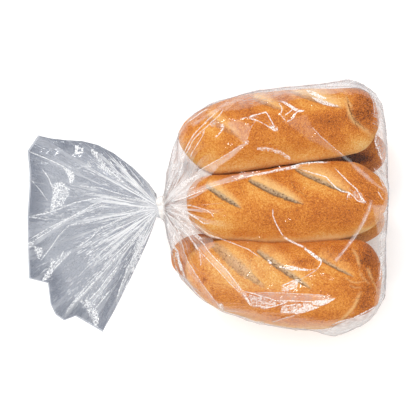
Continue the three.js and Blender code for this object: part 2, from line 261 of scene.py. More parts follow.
# Each roll lies between the pixels of its two tips, with its middle at height z. upper and lower are pixels
# of its outline where it shows; lean is how far its crown is turned towards the picture's top, in degrees. A
# slash runs along its near lip from one pixel to another, bowed outwards, with crumb and then stretched dough
# beside it, both in pixels; deep is how much painted shade darkens its crumb. Tones darken (or, below 0,
# pale) the crust round a pixel, some of them as painted shade. cuts are how finely the roll is divided along,
# across and up, bake is how brown its crust is, and shadow paints shade onto its far and near flanks.
rollShape = {
    "tips": 2.3, "girth": 2.2, "flat": 3.6,  # how square it is towards its tips, round its girth, underneath
    "halfHeight": 25.5 * mm, "hiddenHalf": 28 * mm,
    "uneven": ((42, 1.2, 0), (16, 0.7, 20), (5.5, 0.22, 30)),  # lumps: mm across, mm high, seed
    "crumbEnd": 0.4,  # share of the way across a slash where the crumb meets the stretched dough
}
rolls = {
    "roll_front_top": {
        "left": (178.8, 138.5), "right": (379.2, 115.5), "z": 79 * mm, "lean": 40, "seed": 1,
        "cuts": (170, 78, 56), "bake": 0.53, "shadow": (0.0, 1.1),
        "upper": [(183, 124), (195.5, 114.5), (209, 107), (225, 101.5), (255, 94), (290, 90.3), (325, 89.2),
                  (343, 89), (360, 89.8), (369.5, 93), (375.4, 101)],
        "lower": [(181, 147), (187, 156.5), (199, 168), (213, 174), (235, 172.5), (262, 169), (290, 165),
                  (320, 160.5), (345, 156), (356, 153.5), (365, 150.5), (371, 147.5), (375, 140),
                  (377.5, 130)],
        "slashes": [
            {"from": (205, 117.5), "to": (240, 139), "bow": 2, "crumb": 7, "ramp": 8, "depth": 1.8,
             "opened": 0.25, "deep": 0.2, "pale": 0.4},
            {"from": (252, 98.5), "to": (284, 111), "bow": 1.5, "crumb": 5, "ramp": 7, "depth": 1.5,
             "opened": 0.35, "deep": 0.1, "pale": 0.6},
            {"from": (290, 92.5), "to": (344, 109), "bow": 2, "crumb": 6, "ramp": 12, "depth": 2.2,
             "opened": 0.45, "deep": 0.2, "pale": 0.8},
        ],
        "cracks": [
            {"path": [(347, 95.5), (348.7, 105), (350.5, 110.5), (353.5, 118), (356, 124), (358.5, 128)],
             "wide": 0.7, "dark": 1.0},
            {"path": [(353, 117), (357.5, 122), (363, 126.5), (366, 131)], "wide": 0.5, "dark": 0.8},
            {"path": [(343, 98), (347.5, 107), (350, 114), (354, 121), (360, 126), (367, 131), (373, 136)],
             "wide": 1.9, "pale": 0.65},
            {"path": [(345, 96), (350, 104), (352.5, 110)], "wide": 1.0, "pale": 0.7},
        ],
        "tones": [
            ((364, 110), (14, 21), 0.28), ((372, 116), (6, 14), 0.1), ((330, 120), (30, 16), 0.2),
            ((272, 133), (30, 14), 0.04), ((240, 162), (45, 10), -0.12), ((205, 150), (18, 14), -0.14),
            ((300, 152), (40, 10), -0.06), ((362, 142), (13, 9), -0.3), ((342, 101), (8, 9), -0.22),
            ((186, 130), (7, 8), 0.1), ((250, 112), (20, 8), 0.14), ((226, 138), (9, 12), 0.12),
            ((262, 101), (30, 5), 0.16), ((300, 96), (12, 5), 0.06), ((348, 132), (7, 12), -0.14),
        ],
    },
    "roll_front_middle": {
        "left": (186.6, 204), "right": (387.6, 196.5), "z": 80.5 * mm, "lean": 22, "seed": 2,
        "cuts": (170, 78, 56), "bake": 0.5, "shadow": (1.1, 1.1),
        "upper": [(190, 187), (197, 180), (209, 176.5), (228, 175), (255, 170.5), (285, 166.5), (315, 163),
                  (348, 161.3), (366, 165.6), (377, 174.5), (384, 186)],
        "lower": [(188.4, 214), (191.2, 222), (197, 231), (205, 236.6), (213, 239), (234, 241),
                  (255, 243.2), (282, 245.6), (310, 245), (330, 241.4), (348, 238.4), (360, 234.6),
                  (370, 230), (378, 223.5), (383.5, 216), (387, 207)],
        "slashes": [
            {"from": (204.5, 186.5), "to": (242, 209), "bow": 2.2, "crumb": 6, "ramp": 7, "depth": 2.6,
             "opened": 1.0, "deep": 0.65, "pale": 0.6},
            {"from": (248, 181.5), "to": (304, 205.5), "bow": 2.8, "crumb": 6.6, "ramp": 8, "depth": 3.0,
             "opened": 1.0, "deep": 0.8, "pale": 0.75},
            {"from": (294, 169.5), "to": (350, 194.5), "bow": 2.2, "crumb": 6.2, "ramp": 14, "depth": 2.8,
             "opened": 0.95, "deep": 0.7, "pale": 0.55},
        ],
        "cracks": [],
        "tones": [
            ((286, 222), (34, 17), 0.1), ((335, 212), (34, 14), 0.15), ((368, 196), (14, 14), 0.1),
            ((215, 226), (26, 12), -0.22), ((265, 242), (70, 4.5), -0.55), ((335, 238), (30, 6), -0.35),
            ((358, 176), (16, 8), 0.08), ((368, 190), (13, 16), 0.12), ((368, 231), (16, 5), -0.3),
            ((232, 192), (10, 8), 0.02), ((268, 178), (14, 6), 0.1), ((296, 181), (12, 9), 0.16),
            ((199, 202), (13, 14), 0.13), ((374, 212), (9, 8), -0.1),
        ],
    },
    "roll_front_bottom": {
        "left": (185.6, 268), "right": (382.4, 284), "z": 77.5 * mm, "lean": 12, "seed": 3,
        "cuts": (170, 84, 56), "bake": 0.44, "shadow": (1.1, 0.0),
        "upper": [(188.5, 256.5), (196, 249), (210, 242.5), (235, 241), (262, 242.5), (300, 243),
                  (330, 241), (348, 239.5), (360, 240.2), (371, 245), (378, 254), (381, 266)],
        "lower": [(186.8, 278), (190, 285), (197, 294), (210.5, 305), (227, 312.5), (252, 320),
                  (275, 325.6), (300, 329), (328, 329), (345, 325), (360, 319.5), (370, 315),
                  (377.5, 309.5), (381.6, 302), (382.6, 292)],
        "slashes": [
            {"from": (211, 247), "to": (265, 289), "bow": 4, "crumb": 12, "ramp": 9, "depth": 1.2,
             "opened": 0.6, "deep": 0.0, "pale": 0.15},
            {"from": (256, 252), "to": (312, 290.5), "bow": 2, "crumb": 7.2, "ramp": 11, "depth": 2.4,
             "opened": 0.9, "deep": 0.4, "pale": 0.25},
            {"from": (316, 257), "to": (355, 278), "bow": 1.5, "crumb": 4.2, "ramp": 12, "depth": 2.2,
             "opened": 0.8, "deep": 0.5, "pale": 0.2},
        ],
        "cracks": [
            {"path": [(361.2, 290.7), (359, 294.4), (356.7, 300.4), (354.5, 305.6), (345, 315.3), (336, 325)],
             "wide": 1.5, "pale": 0.7},
            {"path": [(363, 292), (361, 297), (359, 303), (355, 309)], "wide": 0.5, "dark": 0.6},
            {"path": [(352.2, 247.4), (356.7, 257.1), (359.7, 268.3)], "wide": 1.3, "pale": 0.55},
            {"path": [(367.2, 267.5), (370.9, 277.2), (373.1, 280.2)], "wide": 1.2, "pale": 0.6},
            {"path": [(366, 289), (370, 285), (374, 279)], "wide": 0.45, "dark": 0.5},
            {"path": [(344, 277), (351, 281.5), (358, 283), (365, 281)], "wide": 0.8, "pale": 0.5},
            {"path": [(349, 284.5), (355, 288), (362, 288)], "wide": 0.7, "pale": 0.45},
            {"path": [(358, 269), (362, 276), (366, 281), (370, 284.5)], "wide": 0.8, "pale": 0.5},
            {"path": [(371, 279), (375.5, 286), (378, 294)], "wide": 0.8, "pale": 0.5},
        ],
        "tones": [
            ((240, 300), (24, 10), 0.1), ((203, 274), (14, 18), 0.1), ((300, 262), (18, 5), 0.2),
            ((276, 251), (22, 5), 0.2), ((340, 290), (22, 12), 0.16), ((370, 272), (12, 18), 0.26),
            ((370, 290), (9, 9), 0.1), ((352, 268), (12, 12), 0.06), ((366, 304), (14, 12), 0.26),
            ((370, 252), (14, 15), 0.34), ((378, 280), (6, 26), 0.1), ((262, 296), (40, 8), 0.1),
            ((268, 284), (14, 8), -0.1), ((335, 256), (22, 14), 0.26), ((250, 252), (20, 7), -0.05),
            ((204, 279), (2.2, 3), 0.3), ((212, 289), (2, 3), 0.22), ((300, 318), (60, 8), 0.16),
            ((215, 262), (12, 10), -0.02), ((285, 300), (30, 10), 0.1),
        ],
    },
    "roll_back_top": {
        "left": (191, 151), "right": (386, 153), "z": 27.5 * mm, "lean": 4, "seed": 4,
        "cuts": (110, 52, 36), "bake": 0.7, "slashes": [], "cracks": [],
        "tones": [
            # painted shade: the dark crevice between the top and middle rolls
            ((354, 158), (12, 4), 0.75),
        ],
    },
    "roll_back_middle": {
        "left": (188, 211), "right": (384.2, 222.5), "z": 27.5 * mm, "lean": -3, "seed": 5,
        "cuts": (110, 52, 36), "bake": 0.52, "slashes": [], "cracks": [], "tones": [],
    },
    "roll_back_bottom": {
        "left": (171.4, 252), "right": (371, 300), "z": 27.5 * mm, "lean": 5, "seed": 6,
        "cuts": (110, 52, 36), "bake": 0.6, "slashes": [], "cracks": [], "tones": [],
    },
}


def boxOnSphere(points):
    square = points**2
    others = (square[:, [1, 0, 0]], square[:, [2, 2, 1]])
    return points * np.sqrt(1 - others[0] / 2 - others[1] / 2 + others[0] * others[1] / 3)


def distanceToPath(pixels, path):
    # pixels from a line of points, counted below 0 on its left, and how far along it from 0 to 1
    path = np.asarray(path, float)
    lengths = np.linalg.norm(np.diff(path, axis=0), axis=1)
    starts = np.concatenate([[0], np.cumsum(lengths)]) / lengths.sum()
    nearest, along, side = np.full(len(pixels), 1e9), np.zeros(len(pixels)), np.ones(len(pixels))
    for i, length in enumerate(lengths):
        direction = (path[i + 1] - path[i]) / length
        offset = pixels - path[i]
        t = np.clip(offset @ direction / length, 0, 1)
        away = np.linalg.norm(offset - t[:, None] * direction * length, axis=1)
        closer = away < nearest
        nearest = np.where(closer, away, nearest)
        along = np.where(closer, mix(starts[i], starts[i + 1], t), along)
        side = np.where(closer, np.sign(offset @ np.array([-direction[1], direction[0]]) + 1e-9), side)
    return nearest * side, along


def inOutline(pixels, outline):
    # pixels to the edge of a closed outline, above 0 inside it
    outline = np.asarray(outline, float)
    away = np.abs(distanceToPath(pixels, np.vstack([outline, outline[:1]]))[0])
    inside = np.zeros(len(pixels), bool)
    x, y = pixels.T
    for (x1, y1), (x2, y2) in zip(outline, np.roll(outline, -1, axis=0)):
        crosses = (y1 > y) != (y2 > y)
        level = np.where(y2 == y1, 1e-9, y2 - y1)
        inside ^= crosses & (x < (x2 - x1) * (y - y1) / level + x1)
    return np.where(inside, away, -away)


def sideReach(roll, side, middle, direction, halfLength):
    # how wide the roll is on one side of its axis, over the width of a plain rounded roll, by share along it
    shares = np.linspace(-1, 1, 121)
    if side not in roll:
        return shares, np.full(len(shares), rollShape["hiddenHalf"])
    seen = fromPhoto(roll[side], roll["z"]) - middle
    along = seen @ direction / halfLength
    out = np.abs(seen @ np.array([-direction[1], direction[0]]))
    tips = rollShape["tips"]
    ratio = out / (1 - np.clip(np.abs(along), 0, 0.985) ** tips) ** (1 / tips)
    order = np.argsort(along)
    table = np.interp(shares, along[order], ratio[order])
    for _ in range(3):
        table = np.convolve(np.pad(table, 5, mode="edge"), np.full(11, 1 / 11), mode="valid")
    return shares, table


def plainRoll(roll, ball):
    # the roll before it rises and splits, from the points of a subdivided cube: its points, how far along
    # it each one is, which side it is on and how near the crown
    shape = rollShape
    a, b, c = boxOnSphere(ball).T
    girth = mix(shape["girth"], shape["flat"], smooth(-c, 0.0, 0.6))
    section = (np.abs(b) ** girth + np.abs(c) ** girth) ** (1 / girth)
    reach = (np.abs(a) ** shape["tips"] + section ** shape["tips"]) ** (-1 / shape["tips"])
    share, rounded = a * reach, section * reach
    left, right = (fromPhoto(roll[k], roll["z"]) for k in ("left", "right"))
    middle, halfLength = (left + right) / 2, np.linalg.norm(right - left) / 2
    direction = (right - left) / 2 / halfLength
    lean = math.radians(roll["lean"])
    level, upright = b / section, c / section
    y = level * math.cos(lean) + upright * math.sin(lean)
    z = upright * math.cos(lean) - level * math.sin(lean)
    y, z = (2 * (k - k.min()) / (k.max() - k.min()) - 1 for k in (y, z))
    far, near = (np.interp(share, *sideReach(roll, k, middle, direction, halfLength))
                 for k in ("upper", "lower"))
    out = y * rounded * mix(near, far, (y + 1) / 2)
    sideways = np.array([-direction[1], direction[0]])
    points = np.column_stack([
        middle + share[:, None] * halfLength * direction + out[:, None] * sideways,
        roll["z"] + z * rounded * shape["halfHeight"],
    ])
    return points, share, y, upright * rounded


def openSlash(slash, pixels, seen, ragged, marks):
    # pits the crumb of one slash, lifts its near lip and pales the dough that stretched beside it
    crumbEnd = rollShape["crumbEnd"]
    start, end = np.array(slash["from"], float), np.array(slash["to"], float)
    length = np.linalg.norm(end - start)
    line = (end - start) / length
    along = (pixels - start) @ line / length
    arch = np.clip(4 * along * (1 - along), 0, 1)
    # a slash is widest about a third of the way along
    taper = 1.99 * np.clip(along, 0, 1)**0.35 * np.clip(1 - along, 0, 1)**0.75 * seen
    across = (pixels - start) @ np.array([line[1], -line[0]]) + slash["bow"] * arch + 0.5 * ragged
    crumbWide = slash["crumb"] * (0.15 + 0.85 * taper)
    rampWide = slash["ramp"] * (0.35 + 0.65 * taper)
    place = np.where(across < crumbWide, across / crumbWide * crumbEnd,
                     crumbEnd + (across - crumbWide) / rampWide * (1 - crumbEnd))
    here = (np.abs(place - 0.5) < 1.6) & (taper > 0)
    marks["cut"][here] = place[here]
    marks["opened"][here] = (slash["opened"] * np.clip(taper * 2.2, 0, 1))[here]
    marks["deep"][here] = slash["deep"]
    beside = smooth(place, 0.26, 0.42) * (1 - smooth(place, 0.44, 1.15)) * np.clip(taper * 1.6, 0, 1)
    pit = smooth(place, -0.06, 0.14) * (1 - smooth(place, 0.2, 1.05))
    lip = bump(place, -0.12, 0.14)
    marks["stretched"] = np.maximum(marks["stretched"], slash["pale"] * beside)
    marks["depth"] += taper * (0.5 * lip - slash["depth"] * pit)
    marks["tone"] -= 0.17 * beside
    marks["tone"] -= 0.16 * taper * bump(place, -0.35, 0.4)


def openCrack(crack, pixels, seen, ragged, marks):
    # a dark crack is a thin groove, and a pale one a ridge of stretched dough
    away, along = distanceToPath(pixels, crack["path"])
    ends = np.sqrt(np.clip(4 * along * (1 - along), 0, 1)) * seen
    if "dark" in crack:
        closer = np.abs(away) / crack["wide"] < np.abs(marks["crack"])
        marks["crack"][closer] = (away / crack["wide"])[closer]
        marks["cracked"][closer] = (crack["dark"] * ends)[closer]
        marks["depth"] -= 0.5 * ends * np.exp(-(away**2))
        return
    away = np.abs(away + 0.7 * ragged) / crack["wide"]
    marks["stretched"] = np.maximum(marks["stretched"], crack["pale"] * ends * np.exp(-(away**2)))
    marks["depth"] += ends * np.exp(-(away**2)) * 0.45 * crack["pale"]


def makeRoll(name, roll, material):
    bm = bmesh.new()
    bmesh.ops.create_cube(bm, size=2)
    for axis, cuts in enumerate(roll["cuts"]):
        along = [e for e in bm.edges if abs((e.verts[1].co - e.verts[0].co).normalized()[axis]) > 0.9]
        bmesh.ops.subdivide_edges(bm, edges=along, cuts=cuts, use_grid_fill=True)
    piece = newPiece(name, bm, material)
    mesh = piece.data
    points, share, side, crown = plainRoll(roll, readPoints(mesh))
    writePoints(mesh, points)
    normals = readNormals(mesh)
    pixels, seed = toPhoto(points), roll["seed"]
    seen = smooth(normals[:, 2], 0.03, 0.25) * smooth(points[:, 2], roll["z"] - 0.01, roll["z"])
    marks = {k: np.zeros(len(points)) for k in ("opened", "deep", "stretched", "cracked", "depth", "tone")}
    marks["cut"], marks["crack"] = np.full(len(points), -3.0), np.full(len(points), 9.0)
    ragged = lumps(points, 5 * mm, seed + 40)
    for slash in roll["slashes"]:
        openSlash(slash, pixels, seen, ragged, marks)
    for crack in roll["cracks"]:
        openCrack(crack, pixels, seen, ragged, marks)
    for at, reachPixels, amount in roll["tones"]:
        offset = (pixels - np.array(at)) / np.array(reachPixels)
        marks["tone"] += amount * np.exp(-np.sum(offset**2, axis=1)) * seen
    # painted shade darkens the flanks pressed against the next roll; the base and the tips pale
    farShade, nearShade = roll.get("shadow", (0, 0))
    flankShade = smooth(-normals[:, 2], 0.03, 0.35) * np.where(side > 0, farShade, nearShade)
    base, tips = 1 - smooth(crown, -0.75, 0.15), smooth(np.abs(share), 0.82, 1.0)
    marks["bake"] = np.clip(roll["bake"] - 0.34 * base - 0.08 * tips + marks["tone"] + flankShade, 0, 1)
    marks["stretched"] = np.clip(marks["stretched"], 0, 1)
    uneven = sum(high * lumps(points, size * mm, seed + more) for size, high, more in rollShape["uneven"])
    pores = lumps(points, 1.6 * mm, seed + 60) * 0.25 * marks["opened"]
    pores *= smooth(marks["cut"], 0.0, 0.1) * (1 - smooth(marks["cut"], 0.3, 0.5))
    writePoints(mesh, points + normals * ((uneven + marks["depth"] + pores) * mm)[:, None])
    for mark in ("bake", "cut", "opened", "deep", "crack", "cracked", "stretched"):
        paint(mesh, mark, marks[mark])
    return piece


crust = bakedCrust()
rollPieces = {}
for rollName, rollSpec in rolls.items():
    rollPieces[rollName] = makeRoll(rollName, rollSpec, crust)
    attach(rollPieces[rollName], "root")
print("rolls made", {n: len(p.data.polygons) for n, p in rollPieces.items()})

# Blown polyethylene film: clear and glossy, greyish where it hangs loose in layers. Where it is creased or
# crumpled it is painted milky white: partly whitened film, mostly painted highlights of the lamps' glints.
filmLook = {
    "body": {"haze": 0.008, "rim": 0.26, "loose": 0.12, "gloss": 0.09, "tint": "#FFFFFF", "edge": "#E6E7EA",
             "warm": "#C09881", "shade": "#A8A7AB", "mottled": 0.0, "dotted": 0.25,
             "pleatsRound": 11},
    "tail": {"haze": 0.03, "rim": 0.12, "loose": 0.14, "gloss": 0.11, "tint": "#D3D5D9", "edge": "#B8BCC4",
             "warm": "#C4C8D0", "shade": "#C6C9D0", "mottled": 0.16, "dotted": 0.05,
             "pleatsRound": 15},
    "dust": "#D6D9DF",
    "mirror": 0.09,
    # the colour of the whitened film and of its painted highlights
    "milkAndPaintedGlint": "#FFFFFF",
    # each noise's grain in mm, its detail and roughness
    "speck": (1.1, 2.0, 0.65), "wobble": (6, 1.0, 0.5), "shards": (2.1, 4.0, 0.8), "wave": (5, 2.0, 0.5),
    "ridgeMm": 2.1,
    "pleatsAlong": 14,
    "dashesRound": 60, "dashesAlong": 150,
}


def blownFilm(name, look):
    material, tree = newMaterial(name)
    shared = filmLook
    position = addNode(tree, "TexCoord").outputs["Object"]
    painted = {k: addNode(tree, "Attribute", attribute_name=k).outputs["Fac"]
               for k in ("fold", "foldWhite", "facet", "facetWhite", "crumple", "crumpleWhite", "gathered",
                         "veil", "loose", "shattered", "taut", "bunched", "shade")}
    gather = addNode(tree, "Attribute", attribute_name="gather").outputs["Vector"]
    speck, wobble, shards, wave = (
        addNode(tree, "TexNoise",
                {"Vector": position, "Scale": 1000 / size, "Detail": detail, "Roughness": roughness})
        for size, detail, roughness in (shared[k] for k in ("speck", "wobble", "shards", "wave")))
    # pleats run from the neck: noise that is fine round the bag and long along it
    pleatPlace = addNode(tree, "VectorMath",
                         {0: gather, 1: (look["pleatsRound"], look["pleatsRound"], shared["pleatsAlong"])},
                         operation="MULTIPLY")
    pleat = addNode(tree, "TexNoise",
                    {"Vector": pleatPlace, "Scale": 1.0, "Detail": 4.0, "Roughness": 0.68})
    pleatLine = addNode(tree, "MapRange",
                        {"Value": pleat, "From Min": 0.51, "From Max": 0.59},
                        interpolation_type="SMOOTHSTEP")
    # painted highlights along the pleats, where the film is gathered
    pleatWhite = addNode(tree, "Math", {0: pleatLine, 1: painted["gathered"]}, operation="MULTIPLY")
    # shattered places: painted highlights in short bright dashes, all pointing to the neck
    dashPlace = addNode(tree, "VectorMath",
                        {0: gather,
                         1: (shared["dashesRound"], shared["dashesRound"], shared["dashesAlong"])},
                        operation="MULTIPLY")
    dash = addNode(tree, "TexNoise", {"Vector": dashPlace, "Scale": 1.0, "Detail": 2.0, "Roughness": 0.7})
    dashLine = addNode(tree, "MapRange",
                       {"Value": dash, "From Min": 0.54, "From Max": 0.62}, interpolation_type="SMOOTHSTEP")
    dashWhite = addNode(tree, "Math", {0: dashLine, 1: painted["shattered"]}, operation="MULTIPLY")
    # painted highlights along the traced creases
    # creases: fold counts half widths to the nearest one, thinner and thicker along it, with gaps
    uneven = addNode(tree, "Math", {0: speck, 1: 2.2, 2: -1.1}, operation="MULTIPLY_ADD")
    shifted = addNode(tree, "Math", {0: painted["fold"], 1: uneven}, operation="ADD")
    away = addNode(tree, "Math", {0: shifted}, operation="ABSOLUTE")
    thickness = addNode(tree, "Math", {0: wobble, 1: 1.7, 2: 0.25}, operation="MULTIPLY_ADD")
    widths = addNode(tree, "Math", {0: away, 1: thickness}, operation="DIVIDE")
    line = addNode(tree, "MapRange",
                   {"Value": widths, "From Min": 0.45, "From Max": 1.15, "To Min": 1.0, "To Max": 0.0},
                   interpolation_type="SMOOTHSTEP")
    broken = addNode(tree, "MapRange",
                     {"Value": speck, "From Min": 0.38, "From Max": 0.54, "To Min": look["dotted"]},
                     interpolation_type="SMOOTHSTEP")
    lineBroken = addNode(tree, "Math", {0: line, 1: broken}, operation="MULTIPLY")
    lineWhite = addNode(tree, "Math", {0: lineBroken, 1: painted["foldWhite"]}, operation="MULTIPLY")
    # glints: painted highlights on flat facets of film that face a light, with crisp edges
    edge = addNode(tree, "Math", {0: speck, 1: 1.6, 2: painted["facet"]}, operation="MULTIPLY_ADD")
    facetMask = addNode(tree, "MapRange",
                        {"Value": edge, "From Min": 0.55, "From Max": 1.05},
                        interpolation_type="SMOOTHSTEP")
    facetBroken = addNode(tree, "Math", {0: facetMask, 1: broken}, operation="MULTIPLY")
    facetWhite = addNode(tree, "Math", {0: facetBroken, 1: painted["facetWhite"]}, operation="MULTIPLY")
    # crumples: painted highlights in jagged bright shards between fine bright ridges
    borders = addNode(tree, "TexVoronoi",
                      {"Vector": position, "Scale": 1000 / shared["ridgeMm"]}, feature="DISTANCE_TO_EDGE")
    border = addNode(tree, "MapRange",
                     {"Value": borders, "From Min": 0.02, "From Max": 0.14, "To Min": 0.5, "To Max": 0.0},
                     interpolation_type="SMOOTHSTEP")
    bright = addNode(tree, "MapRange", {"Value": shards, "From Min": 0.47, "From Max": 0.52})
    crumple = addNode(tree, "Math", {0: border, 1: bright}, operation="MAXIMUM")
    crumpleBroken = addNode(tree, "Math", {0: crumple, 1: broken}, operation="MULTIPLY")
    raggedEdge = addNode(tree, "Math", {0: shards, 1: 5.0, 2: painted["crumple"]}, operation="MULTIPLY_ADD")
    patch = addNode(tree, "MapRange",
                    {"Value": raggedEdge, "From Min": 2.2, "From Max": 3.2},
                    interpolation_type="SMOOTHSTEP")
    patchWhite = addNode(tree, "Math", {0: patch, 1: painted["crumpleWhite"]}, operation="MULTIPLY")
    crumpleWhite = addNode(tree, "Math", {0: crumpleBroken, 1: patchWhite}, operation="MULTIPLY")
    streaks = addNode(tree, "MapRange",
                      {"Value": pleat, "From Min": 0.38, "From Max": 0.62, "To Min": 0.6, "To Max": 1.25})
    # veils: doubled film, partly its own paler haze, partly painted sheen
    billow = addNode(tree, "MapRange",
                     {"Value": wobble, "From Min": 0.35, "From Max": 0.65, "To Min": 0.7, "To Max": 1.2})
    veilWhite = addNode(tree, "Math", {0: billow, 1: painted["veil"]}, operation="MULTIPLY")
    # ribs: painted highlights on the film bunched at the neck
    ribs = addNode(tree, "MapRange",
                   {"Value": pleat, "From Min": 0.43, "From Max": 0.58, "To Min": 0.0, "To Max": 1.7})
    ribWhite = addNode(tree, "Math", {0: ribs, 1: painted["bunched"]}, operation="MULTIPLY")
    whites = [pleatWhite, dashWhite, lineWhite, facetWhite, crumpleWhite, veilWhite, ribWhite]
    whitest = whites[0]
    for other in whites[1:]:
        whitest = addNode(tree, "Math", {0: whitest, 1: other}, operation="MAXIMUM", use_clamp=True)
    facing = addNode(tree, "LayerWeight", {"Blend": 0.35}).outputs["Facing"]
    rim = addNode(tree, "Math", {0: facing, 1: 3.0}, operation="POWER")
    rimHaze = addNode(tree, "Math", {0: rim, 1: look["rim"], 2: look["haze"]}, operation="MULTIPLY_ADD")
    looseHaze = addNode(tree, "Math", {0: painted["loose"], 1: streaks}, operation="MULTIPLY")
    fullHaze = addNode(tree, "Math",
                       {0: looseHaze, 1: look["loose"], 2: rimHaze},
                       operation="MULTIPLY_ADD", use_clamp=True)
    grime = addNode(tree, "Math", {0: speck, 1: 2 * look["mottled"], 2: fullHaze}, operation="MULTIPLY_ADD")
    scuffed = addNode(tree, "Math", {0: grime, 1: look["mottled"]}, operation="SUBTRACT", use_clamp=True)
    slack = addNode(tree, "Math", {0: 1.0, 1: painted["taut"]}, operation="SUBTRACT")
    haze = addNode(tree, "Math", {0: scuffed, 1: slack}, operation="MULTIPLY")
    waveHeight = addNode(tree, "Math", {0: wave, 1: 0.8}, operation="MULTIPLY")
    height = addNode(tree, "Math", {0: whitest, 1: 0.9, 2: waveHeight}, operation="MULTIPLY_ADD")
    raised = addNode(tree, "Bump", {"Height": height, "Distance": 0.5 * mm, "Strength": 0.8})
    # seen edge on, more of the film lies in the way
    edgeOn = addNode(tree, "Math", {0: facing, 1: 1.6}, operation="POWER")
    clearColor = addNode(tree, "Mix",
                         {"Factor": edgeOn, 6: linear(look["tint"]), 7: linear(look["edge"])},
                         data_type="RGBA")
    # between the white ribs at the neck the film throws back the bread's brown
    ribTints = addNode(tree, "SeparateColor", {"Color": pleat.outputs["Color"]})
    warm = addNode(tree, "MapRange",
                   {"Value": ribTints.outputs["Green"], "From Min": 0.51, "From Max": 0.57},
                   interpolation_type="SMOOTHSTEP")
    warmShare = addNode(tree, "Math", {0: warm, 1: painted["gathered"]}, operation="MULTIPLY")
    throughColor = addNode(tree, "Mix",
                           {"Factor": warmShare, 6: clearColor.outputs[2], 7: linear(look["warm"])},
                           data_type="RGBA")
    shadedColor = addNode(tree, "Mix",
                          {"Factor": painted["shade"], 6: throughColor.outputs[2], 7: linear(look["shade"])},
                          data_type="RGBA", blend_type="MULTIPLY")
    clear = addNode(tree, "BsdfTransparent", {"Color": shadedColor.outputs[2]})
    # the painted highlights and the dust take the light through an upturned normal, as level film does
    facingUp = addNode(tree, "NewGeometry").outputs["Normal"]
    raisedUp = addNode(tree, "VectorMath", {0: facingUp, 1: (0, 0, 1.6)}, operation="ADD")
    upturnedNormal = addNode(tree, "VectorMath", {0: raisedUp}, operation="NORMALIZE").outputs[0]
    dustTop = addNode(tree, "BsdfDiffuse", {"Color": linear(shared["dust"]), "Normal": upturnedNormal})
    dustThrough = addNode(tree, "BsdfTranslucent", {"Color": linear(shared["dust"])})
    dust = addNode(tree, "MixShader", {0: 0.4, 1: dustTop, 2: dustThrough})
    milkAndPaintedGlintTop = addNode(tree, "BsdfDiffuse", {"Color": linear(shared["milkAndPaintedGlint"]), "Normal": upturnedNormal})
    milkAndPaintedGlintThrough = addNode(tree, "BsdfTranslucent", {"Color": linear(shared["milkAndPaintedGlint"])})
    milkAndPaintedGlint = addNode(tree, "MixShader", {0: 0.25, 1: milkAndPaintedGlintTop, 2: milkAndPaintedGlintThrough})
    hazy = addNode(tree, "MixShader", {0: haze, 1: clear, 2: dust})
    milkyWithPaintedGlints = addNode(tree, "MixShader", {0: whitest, 1: hazy, 2: milkAndPaintedGlint})
    shine = addNode(tree, "BsdfGlossy",
                    {"Color": (1, 1, 1, 1), "Roughness": look["gloss"], "Normal": raised})
    fresnel = addNode(tree, "Fresnel", {"IOR": 1.5})
    reflect = addNode(tree, "Math", {0: fresnel, 1: shared["mirror"]}, operation="MINIMUM")
    film = addNode(tree, "MixShader", {0: reflect, 1: milkyWithPaintedGlints, 2: shine})
    addNode(tree, "OutputMaterial", {"Surface": film})
    return material


